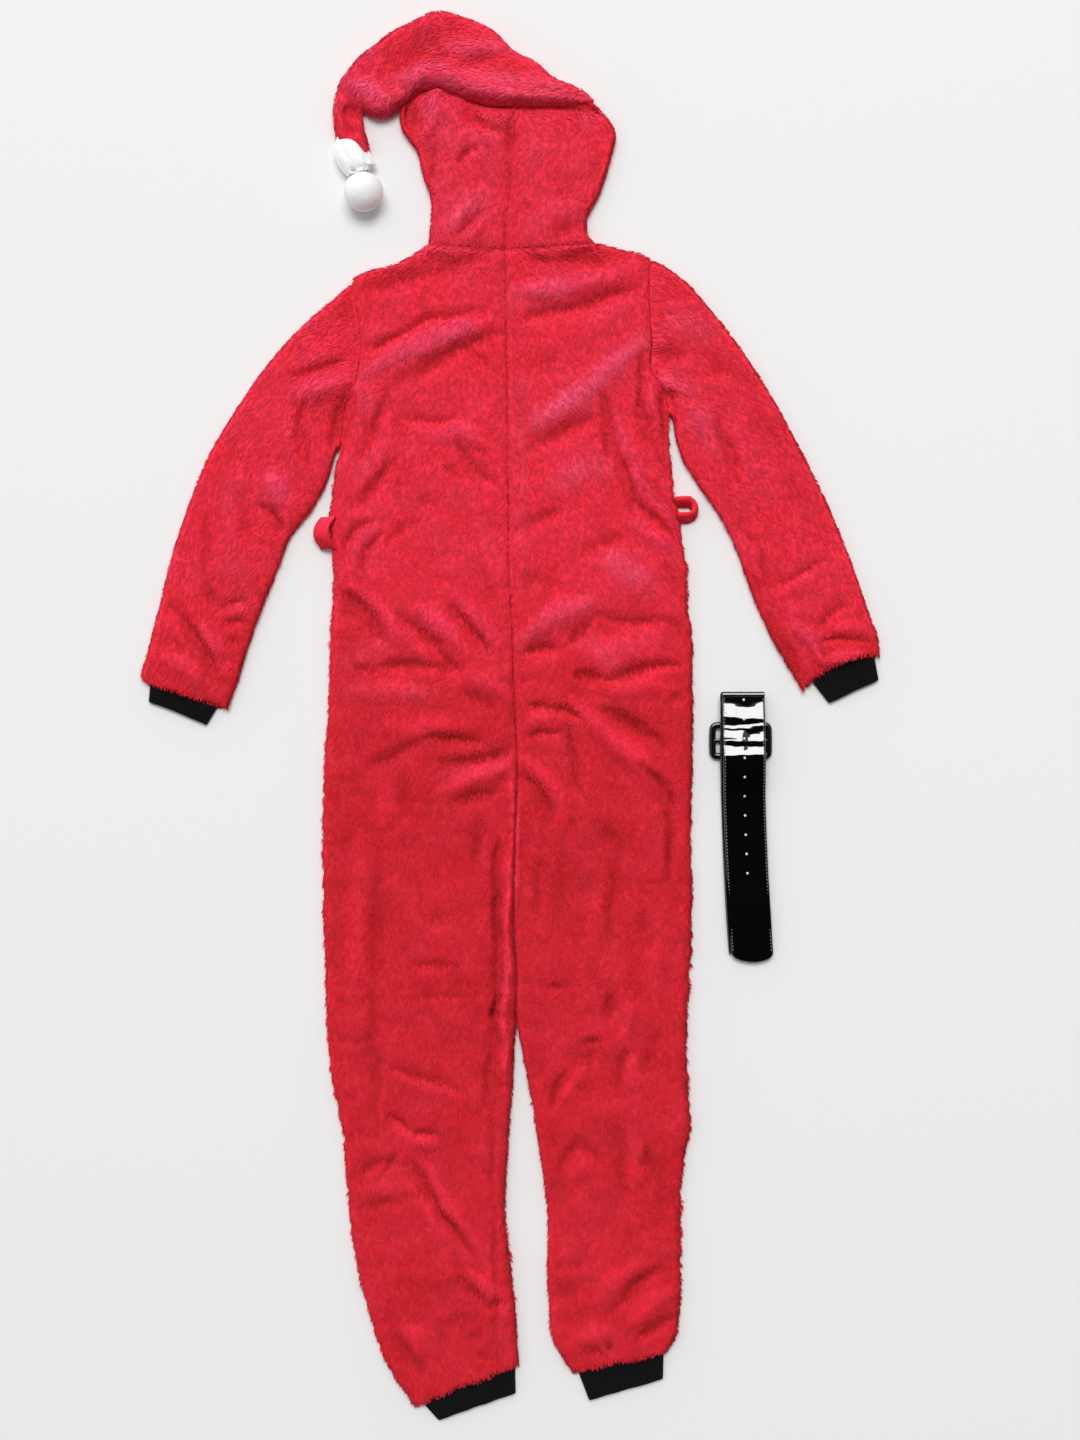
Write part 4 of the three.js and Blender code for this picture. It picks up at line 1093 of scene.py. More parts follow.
def body_edges(half):
    """The outer and inner end of each fine row of one half, and its share of the table's row number."""
    names = ("left_x", "left_y", "inner_lx", "inner_ly") if half == "left" else ("right_x", "right_y", "inner_rx", "inner_ry")
    rows = [[row[name] for name in names] for row in BODY]
    fine, at = smooth_between(rows, bpy.context.scene.onesie_plush.grid / MM)
    return fine[:, :2], fine[:, 2:], at


def fade_in(at, start, width=0.6):
    """0 before a row of the table and 1 after it, with a short slope between."""
    return np.clip((at - start) / width + 0.5, 0, 1)


def back_grid(half):
    """Points of one back panel: under-turned side edge, top, and the edge that turns down at the seam."""
    side, inner, at = body_edges(half)
    width = np.linalg.norm(inner - side, axis=1)[:, None]
    spacing = bpy.context.scene.onesie_plush.grid / MM
    share = np.linspace(0, 1, int(width.max() / spacing))
    share = 0.8 * share + 0.2 * 0.5 * (1 - np.cos(math.pi * share))
    from_side, from_inner = share * width, (1 - share) * width
    place = side[:, None] * (1 - share)[None, :, None] + inner[:, None] * share[None, :, None]
    x, y = place[..., 0], place[..., 1]
    rows = at[:, None]
    sewn = fade_in(rows, ARMHOLE_TOP, 0.3) * (1 - fade_in(rows, ARMPIT, 0.8))
    rim = (BODY_HEIGHT - BODY_EDGE) * (1 - rounded(from_side, 10)) * (1 - sewn)
    armpit = np.exp(-(((rows - ARMPIT + 1) / 0.9) ** 2))
    rim += (1.2 * sewn + 5 * armpit) * np.exp(-((from_side / 5) ** 2))
    joined = 1 - fade_in(rows, CROTCH, 1.5)
    parted = fade_in(rows, LEGS_PART, 1.2)
    inner_rim = joined * 0.9 * np.exp(-((from_inner / 3.2) ** 2))
    inner_rim += (1 - joined) * (1 - parted) * 4.0 * (1 - rounded(from_inner, 7))
    inner_rim += parted * (BODY_HEIGHT - BODY_EDGE) * (1 - rounded(from_inner, 10))
    from_end = np.cumsum(np.linalg.norm(np.diff(place[::-1], axis=0, prepend=place[-1:]), axis=2), axis=0)[::-1]
    from_neck = np.cumsum(np.linalg.norm(np.diff(place, axis=0, prepend=place[:1]), axis=2), axis=0)
    ends = 3.4 * (1 - rounded(from_end, HEM_ROUND)) + 0.8 * np.exp(-((from_neck / 3.5) ** 2))
    ends -= 1.6 * np.exp(-(((from_neck - 11) / 7) ** 2)) * (np.abs(x) < 100)
    fade = rounded(from_side, 22 - 16 * sewn) * rounded(from_inner, 9)
    z = BODY_HEIGHT + 1.2 * fade - np.maximum(rim, inner_rim) - ends
    z = np.maximum(z + creases("body", x, y) * fade + surface_lumps(x, y) * fade**0.5, 4.8)
    y = y + HEM_WAVE * lumps(x, 0 * y, 15, 35) * np.exp(-((from_end / 14) ** 2)) * rounded(np.minimum(from_side, from_inner), 12)
    grid = np.dstack([x, y, z])
    outwards = (side - inner) / width
    scallop = 1.1 * lumps(side[:, 0], side[:, 1], 5, 21) + 0.8 * lumps(side[:, 0], side[:, 1], 17, 22)
    near = np.exp(-((from_side / 6) ** 2)) * (1 - sewn)
    grid[..., :2] += (outwards * scallop[:, None])[:, None] * near[..., None]
    under = turned_under(grid[:, 0], grid[:, 1], sewn[:, 0])
    inside = turned_under(grid[:, -1], grid[:, -2], 1 - parted[:, 0])
    return np.concatenate([under, grid, inside[:, ::-1]], axis=1)


def turned_under(edge, beside, sewn):
    """Two more columns beyond an edge: turned under where it is free, straight down where it is sewn."""
    inwards = beside - edge
    inwards[:, 2] = 0
    inwards /= np.maximum(np.linalg.norm(inwards, axis=1, keepdims=True), 1e-6)
    columns = []
    for inset, free_z, sewn_z in ((3.0, 4.4, 4.5), (0.8, 4.6, 5.0)):
        point = edge + inwards * (inset * (1 - sewn) + 0.1 * sewn)[:, None]
        point[:, 2] = free_z * (1 - sewn) + np.minimum(sewn_z, edge[:, 2]) * sewn
        columns.append(point)
    return np.stack(columns, axis=1)


def front_grid(half):
    """Points of one front panel, flat on the surface, its long edges curled up to the side seam."""
    side, inner, at = body_edges(half)
    side, inner, at = side[::3], inner[::3], at[::3]
    width = np.linalg.norm(inner - side, axis=1)[:, None]
    closure = np.where(at <= CROTCH, 4.4, 0.3)[:, None]
    closure = np.where((at > LEGS_PART)[:, None], 3.0, closure)
    insets = [(3.0, 3.9), (3.1, 2.4), (4.0, 1.0), (6.5, 0.4)]
    columns = []
    for inset, z in insets:
        columns.append(np.concatenate([side + (inner - side) * inset / width, np.full((len(side), 1), z)], axis=1))
    for share in np.linspace(0.08, 0.92, 14):
        columns.append(np.concatenate([side + (inner - side) * share, np.full((len(side), 1), 0.35)], axis=1))
    for inset, z in reversed(insets):
        place = inner + (side - inner) * (inset - 3.0 + closure) / width
        columns.append(np.concatenate([place, np.full((len(side), 1), z)], axis=1))
    return np.stack(columns, axis=1)


# ---------- sleeves ----------


def polyline(points, share):
    """Places at shares of the length of a line through points."""
    points = np.asarray(points, float)
    steps = np.linalg.norm(np.diff(points, axis=0), axis=1)
    along = np.concatenate([[0], np.cumsum(steps)]) / steps.sum()
    return np.stack([np.interp(share, along, points[:, k]) for k in (0, 1)], axis=-1)


def bowed(row, half, share):
    """Places across a sleeve's section, which may bow towards the armhole."""
    outer = np.array([row["outer_x"], row["outer_y"]], float)
    under = np.array([row["under_x"], row["under_y"]], float)
    run = under - outer
    normal = np.array([run[1], -run[0]]) / np.linalg.norm(run)
    away = -1 if half == "left" else 1
    bend = (away * row["bow"] * 4 * share * (1 - share))[:, None]
    return outer + run * share[:, None] + normal * bend


def sleeve_sections(half, share):
    """Places at the same shares across each section of a sleeve, from the armhole to the hem."""
    x, y = ("left_x", "left_y") if half == "left" else ("right_x", "right_y")
    away = -0.3 if half == "left" else 0.3
    hole = polyline([(row[x] + away, row[y]) for row in BODY[ARMHOLE_TOP : ARMPIT + 1]], share)
    return np.stack([hole, *[bowed(row, half, share) for row in SLEEVES[half]]])


def flat_tube(sections, height, top, spacing, top_columns, under_columns):
    """Points of a tube laid flat through sections of places; top(x, y, across, along) gives its upper face.
    Its columns run over the top, round the second side, back underneath and round the first side."""
    radius = height / 2
    middle = sections[:, sections.shape[1] // 2]
    packed = np.concatenate([middle, sections.reshape(len(sections), -1)], axis=1)
    fine, _ = smooth_between(packed, spacing)
    fine = fine[:, 2:].reshape(len(fine), -1, 2)
    shares = np.linspace(0, 1, fine.shape[1])
    width = np.linalg.norm(fine[:, -1] - fine[:, 0], axis=1)
    along = np.concatenate([[0], np.cumsum(np.linalg.norm(np.diff(fine[:, len(shares) // 2], axis=0), axis=1))])
    arc = np.linspace(0, math.pi, 9)[1:-1]
    over, under = np.linspace(0, 1, top_columns), np.linspace(1, 0, under_columns)
    grid = []
    for row, w, so_far in zip(fine, width, along):
        edge = radius / w
        share = np.concatenate(
            [
                edge + (1 - 2 * edge) * over,
                1 - edge + edge * np.sin(arc),
                edge + (1 - 2 * edge) * under,
                edge - edge * np.sin(arc),
            ]
        )
        x, y = (np.interp(share, shares, row[:, k]) for k in (0, 1))
        z = np.concatenate([np.full(top_columns, height), radius + radius * np.cos(arc), np.zeros(under_columns), radius - radius * np.cos(arc)])
        upper = slice(0, top_columns)
        z[upper] = top(x[upper], y[upper], over, so_far, along[-1] - so_far)
        grid.append(np.stack([x, y, z], axis=1))
    return np.array(grid)


def sleeve_grid(half):
    """Points of one sleeve, a tube of plush laid flat."""
    spacing = bpy.context.scene.onesie_plush.grid / MM

    def top(x, y, across, from_hole, from_hem):
        fade = np.clip(np.sin(math.pi * across) * 4, 0, 1) ** 0.6
        crown = 3.6 * np.sin(math.pi * across) ** 0.6 * (1 - math.exp(-from_hole / 40))
        armpit = np.clip((across - 0.68) / 0.12, 0, 1)
        seam = (1.2 + 4.5 * armpit) * math.exp(-((from_hole / 5) ** 2))
        hem = 3.2 * (1 - float(rounded(from_hem, HEM_ROUND)))
        lifted = creases(f"sleeve_{half}", x, y) + surface_lumps(x, y)
        return np.maximum(BODY_HEIGHT + crown + lifted * fade - seam - hem, 5.2)

    sections = sleeve_sections(half, np.linspace(0, 1, 81))
    grid = flat_tube(sections, BODY_HEIGHT, top, spacing, 58, 16)
    grid[..., 2] = np.maximum(grid[..., 2], 0.35)
    return grid


# ---------- cuffs ----------

CUFFS = table(
    "name limb half from to mouth_ax mouth_ay mouth_bx mouth_by",
    [
        ("cuff_wrist_left", "sleeve", "left", 0.03, 0.89, -436, 17, -366, -11),
        ("cuff_wrist_right", "sleeve", "right", 0.05, 0.86, 441, 43, 381, 15),
        ("cuff_ankle_left", "leg", "left", 0.07, 0.97, -88, -846, 5, -813),
        ("cuff_ankle_right", "leg", "right", 0.02, 0.95, 182, -796, 93, -822),
    ],
)
CUFF_HEIGHT, RIB_RAISE, RIB_THICKNESS = 6.4, 0.45, 2.4


def hem_place(row, share):
    """Places along the hem that a cuff is sewn to."""
    share = row["from"] + (row["to"] - row["from"]) * share
    if row["limb"] == "sleeve":
        return bowed(SLEEVES[row["half"]][-1], row["half"], share)
    names = ("left_x", "left_y", "inner_lx", "inner_ly") if row["half"] == "left" else ("right_x", "right_y", "inner_rx", "inner_ry")
    ends = [BODY[-1][name] for name in names]
    return np.array(ends[:2]) + (np.array(ends[2:]) - np.array(ends[:2])) * share[:, None]


def cuff_object(row):
    """One cuff: a tube of rib knit laid flat, its outer wall ribbed along its length, open at its mouth."""
    share = np.linspace(0, 1, 41)
    hem = hem_place(row, share)
    mouth = np.array([row["mouth_ax"], row["mouth_ay"]], float)
    mouth = mouth + (np.array([row["mouth_bx"], row["mouth_by"]]) - mouth) * share[:, None]
    mouth[:, 1] += 0.9 * lumps(mouth[:, 0], mouth[:, 1], 13, 31) * np.sin(math.pi * share)
    steps = np.linspace(0, 1, 16)[:, None, None]
    start = 0.4 / np.linalg.norm(mouth[20] - hem[20])
    sections = hem + (mouth - hem) * (start + (1 - start) * steps)
    width = np.linalg.norm(hem[-1] - hem[0])
    ribs = round(width / (bpy.context.scene.onesie_knit.rib_pitch / MM))
    columns = 6 * ribs + 1

    def top(x, y, across, from_hem, from_mouth):
        rib = RIB_RAISE * np.cos(2 * math.pi * ribs * across)
        squeeze = 0.5 * math.exp(-((from_hem / 5) ** 2))
        return CUFF_HEIGHT + rib - squeeze + 0.5 * lumps(x, y, 16, 33) * np.sin(math.pi * across)

    outer = flat_tube(sections, CUFF_HEIGHT, top, 2.2, columns, 30)
    rows, around = outer.shape[:2]
    normal = grid_normals(outer, True)
    middle = outer.mean(axis=1, keepdims=True)
    facing = np.sign(((outer - middle) * normal).sum(axis=-1).mean())
    inner = outer - normal * facing * RIB_THICKNESS * 0.8
    inner[..., 2] = np.clip(inner[..., 2], 1.2, CUFF_HEIGHT - 1.2)
    outer[..., 2] = np.maximum(outer[..., 2], 0.0)
    walls = np.concatenate([outer, inner[::-1], outer[:1]])
    faces = grid_faces(len(walls), around, True) % (2 * rows * around)
    made = mesh_object(row["name"] + "_knit", walls[:-1].reshape(-1, 3), faces)
    made.data.materials.append(rib_knit())
    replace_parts(of_node(made), row["name"])
    return made


# ---------- hood ----------

HOOD_HEIGHT, HOOD_FACE = 12.0, 30.0
RIDGE = -89.0  # where a ridge of the hood rises to the point instead of dipping under it
ROLL_EDGE = np.array([(-124, 746), (-88, 752), (-44, 737), (-5, 733), (50, 733), (91, 729)])  # lower edge of the point


def hood_grid(half):
    """Points of one half of the hood: from the centre seam over the top, round the side, under to the face
    opening, and a little way in."""
    side_x, side_y = ("left_x", "left_y") if half == "left" else ("right_x", "right_y")
    away = -0.15 if half == "left" else 0.15
    rows = [[row["seam_x"] + away, row["seam_y"], row[side_x], row[side_y]] for row in HOOD]
    fine, at = smooth_between(rows, 2.0)
    seam, side = fine[:, :2], fine[:, 2:]
    width = np.linalg.norm(side - seam, axis=1)[:, None]
    radius = HOOD_HEIGHT / 2
    over = np.linspace(0, 1, 54)
    arc = np.linspace(0, math.pi, 11)[1:-1]
    under = np.linspace(1, 0, 16)
    far = 1 - radius / width
    share = np.concatenate(
        [
            far * over,
            1 - (radius - radius * np.sin(arc)) / width,
            HOOD_FACE / width + (far - HOOD_FACE / width) * under,
        ],
        axis=1,
    )
    place = seam[:, None] + (side - seam)[:, None] * share[..., None]
    x, y = place[..., 0], place[..., 1]
    from_seam = share * width
    z = np.zeros_like(x)
    upper = slice(0, len(over))
    crown = 2.4 * np.sin(math.pi * over) ** 0.8
    z[:, upper] = HOOD_HEIGHT + crown - 1.4 * np.exp(-((from_seam[:, upper] / 3.2) ** 2))
    neck = np.concatenate([[0], np.cumsum(np.linalg.norm(np.diff(fine[:, :2], axis=0), axis=1))])[:, None]
    below = np.interp(x[:, upper], ROLL_EDGE[:, 0], ROLL_EDGE[:, 1]) - y[:, upper]
    tucked = 5.5 * np.exp(-((np.maximum(below, 0) / 9) ** 2))
    tucked *= 1 - 0.9 * np.exp(-(((x[:, upper] - RIDGE) / 13) ** 2))
    z[:, upper] -= 1.3 * np.exp(-((neck / 4) ** 2)) + tucked
    fade = rounded(from_seam[:, upper], 5) * rounded(width - from_seam[:, upper], 14)
    z[:, upper] += (creases("hood", x[:, upper], y[:, upper]) + surface_lumps(x[:, upper], y[:, upper])) * fade
    z[:, len(over) : len(over) + len(arc)] = radius + radius * np.cos(arc)
    z[:, -len(under) :] = 0.35
    hem = [(0.0, 2.2), (1.5, 4.0), (12.0, 4.2)]
    lip = []
    for inset, height in hem:
        back = HOOD_FACE / width[:, 0] + inset / width[:, 0]
        lip.append(np.concatenate([seam + (side - seam) * back[:, None], np.full((len(seam), 1), height)], axis=1))
    return np.concatenate([np.dstack([x, y, z]), np.stack(lip, axis=1)], axis=1)


def point_grid():
    """Points of the hood's folded point, a ring of columns round each section."""
    names = ("outer_x", "outer_y", "inner_x", "inner_y", "height", "roll")
    fine, _ = smooth_between([[row[name] for name in names] for row in POINT], 2.0)
    outer, inner, height, roll = fine[:, :2], fine[:, 2:4], fine[:, 4:5], fine[:, 5:6]
    width = np.linalg.norm(inner - outer, axis=1)[:, None]
    share = 0.5 * (1 - np.cos(math.pi * np.linspace(0, 1, 56)))
    place = outer[:, None] + (inner - outer)[:, None] * share[None, :, None]
    x, y = place[..., 0], place[..., 1]
    inset = np.minimum(share, 1 - share) * width
    turn = rounded(inset, np.minimum(0.5 * width, 13 - 0.8 * roll * (share > 0.5)))
    crest = roll * np.exp(-(((share - 0.84) / 0.12) ** 2)) - 0.7 * roll * np.exp(-(((share - 0.54) / 0.14) ** 2))
    fade = rounded(inset, 10)
    top = 7 + (height + crest - 7) * turn + (creases("point", x, y) + 1.3 * surface_lumps(x, y)) * fade
    low = np.linspace(1, 0, 16)[1:-1]
    under = outer[:, None] + (inner - outer)[:, None] * (0.06 + 0.88 * low)[None, :, None]
    grid_top = np.dstack([x, y, np.maximum(top, 6)])
    grid_low = np.dstack([under[..., 0], under[..., 1], np.full(under.shape[:2], 0.4)])
    for column in (0, -1):
        grid_low[:, column, 2] = 2.2
    return np.concatenate([grid_top, grid_low], axis=1)


# ---------- pompom ----------

POMPOM = {"x": -176.0, "y": 624.6, "radius": 23.4, "sink": 1.5}
FRILL = table(
    "x y across_x across_y half_width height",
    [
        (-190.0, 684.0, 0.895, -0.446, 20.5, 19),
        (-189.4, 678.0, 0.92, -0.39, 23.0, 22),
        (-188.0, 668.0, 0.97, -0.25, 24.5, 25),
        (-186.0, 659.0, 1.0, -0.05, 22.5, 25),
        (-184.0, 652.5, 0.97, 0.22, 16.5, 22),
        (-182.8, 648.8, 0.96, 0.27, 13.0, 20),
    ],
)


# Gathers that the thread pulls into the frill, on the layout sheet: place, angle, and size in millimetres.
GATHERS = table(
    "at_x at_y angle long wide deep",
    [
        (354, 172.5, -0.1, 7, 1.5, 11),
        (371, 174, -0.5, 6, 1.5, 11),
        (347, 158, -1.1, 16, 2.2, 1.8),
        (357, 157, -0.9, 12, 2.0, 1.6),
        (367, 163, -0.7, 9, 1.8, 1.4),
        (361, 171, -0.1, 5, 1.6, 1.8),
    ],
)


def ball_grid():
    """Points of the pompom, a stuffed ball that rests on the surface."""
    radius = POMPOM["radius"]
    angle = np.linspace(-math.pi / 2, math.pi / 2, 60)[:, None]
    turn = np.linspace(0, 2 * math.pi, 112, endpoint=False)[None, :]
    x = radius * np.cos(angle) * np.cos(turn)
    y = radius * np.cos(angle) * np.sin(turn)
    z = radius * np.sin(angle) + 0 * turn
    bulge = 1 + 0.018 * lumps(x + 2 * z, y - z, 13, 51) + 0.008 * lumps(x - z, y + 2 * z, 5, 52)
    grid = np.dstack([x * bulge, y * bulge, z * bulge])
    grid[..., 2] = np.maximum(grid[..., 2] + radius - POMPOM["sink"], 0.3)
    return grid + [POMPOM["x"], POMPOM["y"], 0]


def frill_grid():
    """Points of the gathered frill: pleats that deepen towards the neck where it is drawn in."""
    names = ("x", "y", "across_x", "across_y", "half_width", "height")
    fine, at = smooth_between([[row[name] for name in names] for row in FRILL], 0.7)
    turn = np.linspace(0, 2 * math.pi, 180, endpoint=False)[None, :]
    shares = (at / at.max())[:, None]
    pleats = 0.03 * np.cos(9 * turn + 1.1 * np.sin(2 * turn)) * (0.25 + shares**2)
    pleats += 0.03 * np.cos(17 * turn + 2 * np.sin(3 * turn)) * shares
    swell = 1 + pleats + 0.02 * lumps(10 * turn, 20 * shares, 5, 55)
    across = fine[:, 4:5] * np.cos(turn) * swell
    flared = 2.6 * np.cos(4 * turn + 0.6 * np.sin(2 * turn)) * (1 - shares) ** 2
    x = fine[:, 0:1] + fine[:, 2:3] * across - flared * fine[:, 3:4] * 0.5
    y = fine[:, 1:2] + fine[:, 3:4] * across + flared
    z = fine[:, 5:6] / 2 * (1 + np.sin(turn) * swell)
    z = z - gathered(x, y) * (np.sin(turn) > 0)
    return np.dstack([x, y, np.maximum(z, 0.3)])


def gathered(x, y):
    """How deep the gathers pull the frill in at each place."""
    deep = np.zeros_like(x)
    for row in GATHERS:
        along, away = off_middle(x, y, row)
        deep += row["deep"] * np.exp(-((along / (0.5 * row["long"])) ** 4) - (away / row["wide"]) ** 2)
    return deep


def off_middle(x, y, row):
    """Distances along and across from the middle of a gather, which lies at an angle."""
    cx, cy = on_sheet(row["at_x"], row["at_y"])
    c, s = math.cos(row["angle"]), math.sin(row["angle"])
    return (x - cx) * c + (y - cy) * s, (y - cy) * c - (x - cx) * s


# ---------- belt loops ----------

LOOP_RIGHT = {"wall": 7.0, "height": 16.0, "lean": 0.52, "arms": (256.0, 237.0), "root_x": (195.8, 198.8), "reach": 220.0}
LOOP_LEFT = {"wall": 5.0, "band": 22.0, "root_y": (238.0, 200.0), "root_x": -219.5, "root_z": 9.0, "rise": 8.0, "out": 4.0}
LOOP_TILT = math.pi / 6  # how far the left band leans up towards the body


def band_section(half_wide, half_thick, count=22, square=0.65):
    """A rounded section of a folded and sewn band: places across and through it."""
    turn = np.linspace(0, 2 * math.pi, count, endpoint=False)
    across = half_wide * np.sign(np.cos(turn)) * np.abs(np.cos(turn)) ** square
    through = half_thick * np.sign(np.sin(turn)) * np.abs(np.sin(turn)) ** square
    return across, through


def loop_right_grid():
    """Points of the right belt loop, a band that stands on its edge and bends back on itself."""
    high, low = LOOP_RIGHT["arms"]
    radius = (high - low) / 2
    bend = LOOP_RIGHT["reach"] - radius
    turn = np.linspace(math.pi / 2, -math.pi / 2, 26)
    path = [(LOOP_RIGHT["root_x"][0], high, 0, 1)]
    path += [(x, high, 0, 1) for x in np.linspace(LOOP_RIGHT["root_x"][0], bend, 7)[1:-1]]
    path += [(bend + radius * math.cos(a), low + radius + radius * math.sin(a), math.cos(a), math.sin(a)) for a in turn]
    path += [(x, low, 0, -1) for x in np.linspace(bend, LOOP_RIGHT["root_x"][1], 7)[1:]]
    path = np.array(path)[:, None]
    across, through = band_section(LOOP_RIGHT["height"] / 2, LOOP_RIGHT["wall"] / 2)
    z = LOOP_RIGHT["height"] / 2 + across + 0 * path[..., 0]
    offset = through + 0.35 * lumps(path[..., 0] + across, path[..., 1], 5, 61)
    x = path[..., 0] + path[..., 2] * offset
    y = path[..., 1] + path[..., 3] * offset + (z - LOOP_RIGHT["height"] / 2) * LOOP_RIGHT["lean"]
    return np.dstack([x, y, np.maximum(z, 0.3)])


def loop_left_grid():
    """Points of the left belt loop, a band that arches over the edge of the body."""
    loop = LOOP_LEFT
    t = np.linspace(0, 1, 34)[:, None]
    arch = np.sin(math.pi * t)
    across, through = band_section(loop["band"] / 2, loop["wall"] / 2)
    run, climb = math.cos(LOOP_TILT), math.sin(LOOP_TILT)
    lift = through + loop["rise"] * arch + 0.35 * lumps(40 * t + across, across, 5, 62)
    x = loop["root_x"] - loop["out"] * arch + run * across - climb * lift
    y = loop["root_y"][0] + (loop["root_y"][1] - loop["root_y"][0]) * t + 0 * across
    z = loop["root_z"] + climb * across + run * lift
    return np.dstack([x, y, z])


# ---------- belt ----------

STRAP = table(
    "y z",
    [
        (-76, 1.1),
        (-34, 1.1),
        (-27, 1.7),
        (-24.2, 4),
        (-24, 6.8),
        (-27, 9.2),
        (-34, 9.7),
        (-56, 9.6),
        (-74, 5.2),
        (-88, 1.4),
        (-110, 1.1),
        (-282, 1.1),
        (-285.2, 1.8),
        (-286, 3),
        (-285.2, 4.2),
        (-282, 4.9),
        (-120, 4.6),
        (-96, 6),
        (-74, 10),
        (-58, 12.6),
        (-30, 12.8),
        (10, 12.6),
        (24, 12.2),
        (26.6, 12.8),
        (27.6, 14),
        (26.6, 15.4),
        (23, 16),
        (19.5, 16.1),
        (12, 16.15),
        (-30, 16.2),
        (-60, 16),
        (-80, 12.8),
        (-100, 9.4),
        (-124, 8.1),
        (-200, 8),
        (-278, 8),
        (-284, 8),
        (-290, 8),
        (-295.6, 8),
    ],
)
TOP_LAYER = 26  # the row of STRAP where the top layer starts
BELT = {"x": 276.3, "lean": 1.15e-4, "top": 28}
HOLES = {"count": 10, "first": 18.8, "pitch": 23.1, "radius": 1.9}
TIP = {"start": -282.0, "end": -295.6}
# Puckers of the top layer over the buckle: a place along the belt, and the lift at five places across it.
PUCKER_AT = (-0.9, -0.05, 0.15, 0.5, 0.9)
PUCKERS = table(
    "y left inner middle outer right",
    [
        (27, 0, 0, 0, 0, 0),
        (16, 0, 0, 0, 0, 0),
        (14, 0.2, 0, 0, 0.1, 0.3),
        (10, 1.0, 0.1, 0, 0.4, 1.1),
        (8.5, 1.3, 0.4, 0.1, 0.6, 1.4),
        (-2.1, 3.5, 2.6, 2.3, 2.9, 3.6),
        (-4.4, 3.0, 2.9, 2.7, 3.3, 4.0),
        (-8, 2.3, 2.2, 1.9, 2.6, 3.4),
        (-10, 1.9, 1.7, 1.6, 2.6, 3.8),
        (-12.3, 1.8, 1.9, 2.1, 3.1, 4.2),
        (-15.6, 2.5, 2.7, 2.7, 3.2, 3.7),
        (-16.6, 2.6, 2.7, 2.5, 2.9, 3.4),
        (-17.6, 2.3, 2.5, 2.4, 2.7, 3.1),
        (-19.5, 2.7, 2.9, 2.3, 2.6, 3.4),
        (-22.5, 3.4, 3.6, 2.3, 2.6, 4.0),
        (-27.2, 4.5, 4.7, 2.5, 3.7, 4.8),
        (-28.4, 4.1, 5.0, 2.8, 4.0, 4.9),
        (-31, 4.7, 5.4, 3.4, 4.4, 5.4),
        (-35.4, 3.6, 4.4, 3.4, 3.8, 4.2),
        (-37.4, 4.1, 4.2, 3.6, 3.6, 3.7),
        (-47.2, 6.3, 6.4, 6.1, 6.0, 6.0),
        (-60, 5.2, 5.3, 5.1, 5.1, 5.0),
        (-98, 0, 0, 0, 0, 0),
    ],
)
TOP_INSET = 1.2  # how much narrower the top layer is than those below, and how far it lies to the right
SEWN = 0.91  # where the rows of stitches run, as a share of the top layer's half width
EDGE_TURN = 0.45  # how far the edges outside the stitches turn down


def belt_middle(y):
    """Where the belt's middle line lies across, at a place along it."""
    return BELT["x"] + BELT["lean"] * (BELT["top"] - y) ** 2


def pucker(y, across):
    """How far the top layer is lifted over the buckle; across runs from -1 to 1."""
    across = across + 0 * y
    at = y + 0.8 * lumps(26 * across, y, 5, 71) + 0.5 * lumps(26 * across, 2 * y, 12, 72)
    even = np.arange(-100, 30, 0.4)
    kernel = np.array([1, 2, 3, 2, 1]) / 9
    rows = PUCKERS[::-1]
    lift = []
    for name in ("left", "inner", "middle", "outer", "right"):
        lines = np.interp(even, [row["y"] for row in rows], [row[name] for row in rows])
        lift.append(np.interp(at, even, np.convolve(lines, kernel, mode="same")))
    total = lift[0]
    for i in range(1, len(PUCKER_AT)):
        part = np.clip((across - PUCKER_AT[i - 1]) / (PUCKER_AT[i] - PUCKER_AT[i - 1]), 0, 1)
        total = total + (lift[i] - lift[i - 1]) * part
    return total


HALF_COLUMNS = 31
ACROSS = 1.0001 * np.tanh(1.75 * np.linspace(-1, 1, HALF_COLUMNS)) / math.tanh(1.75)  # closer towards the edges


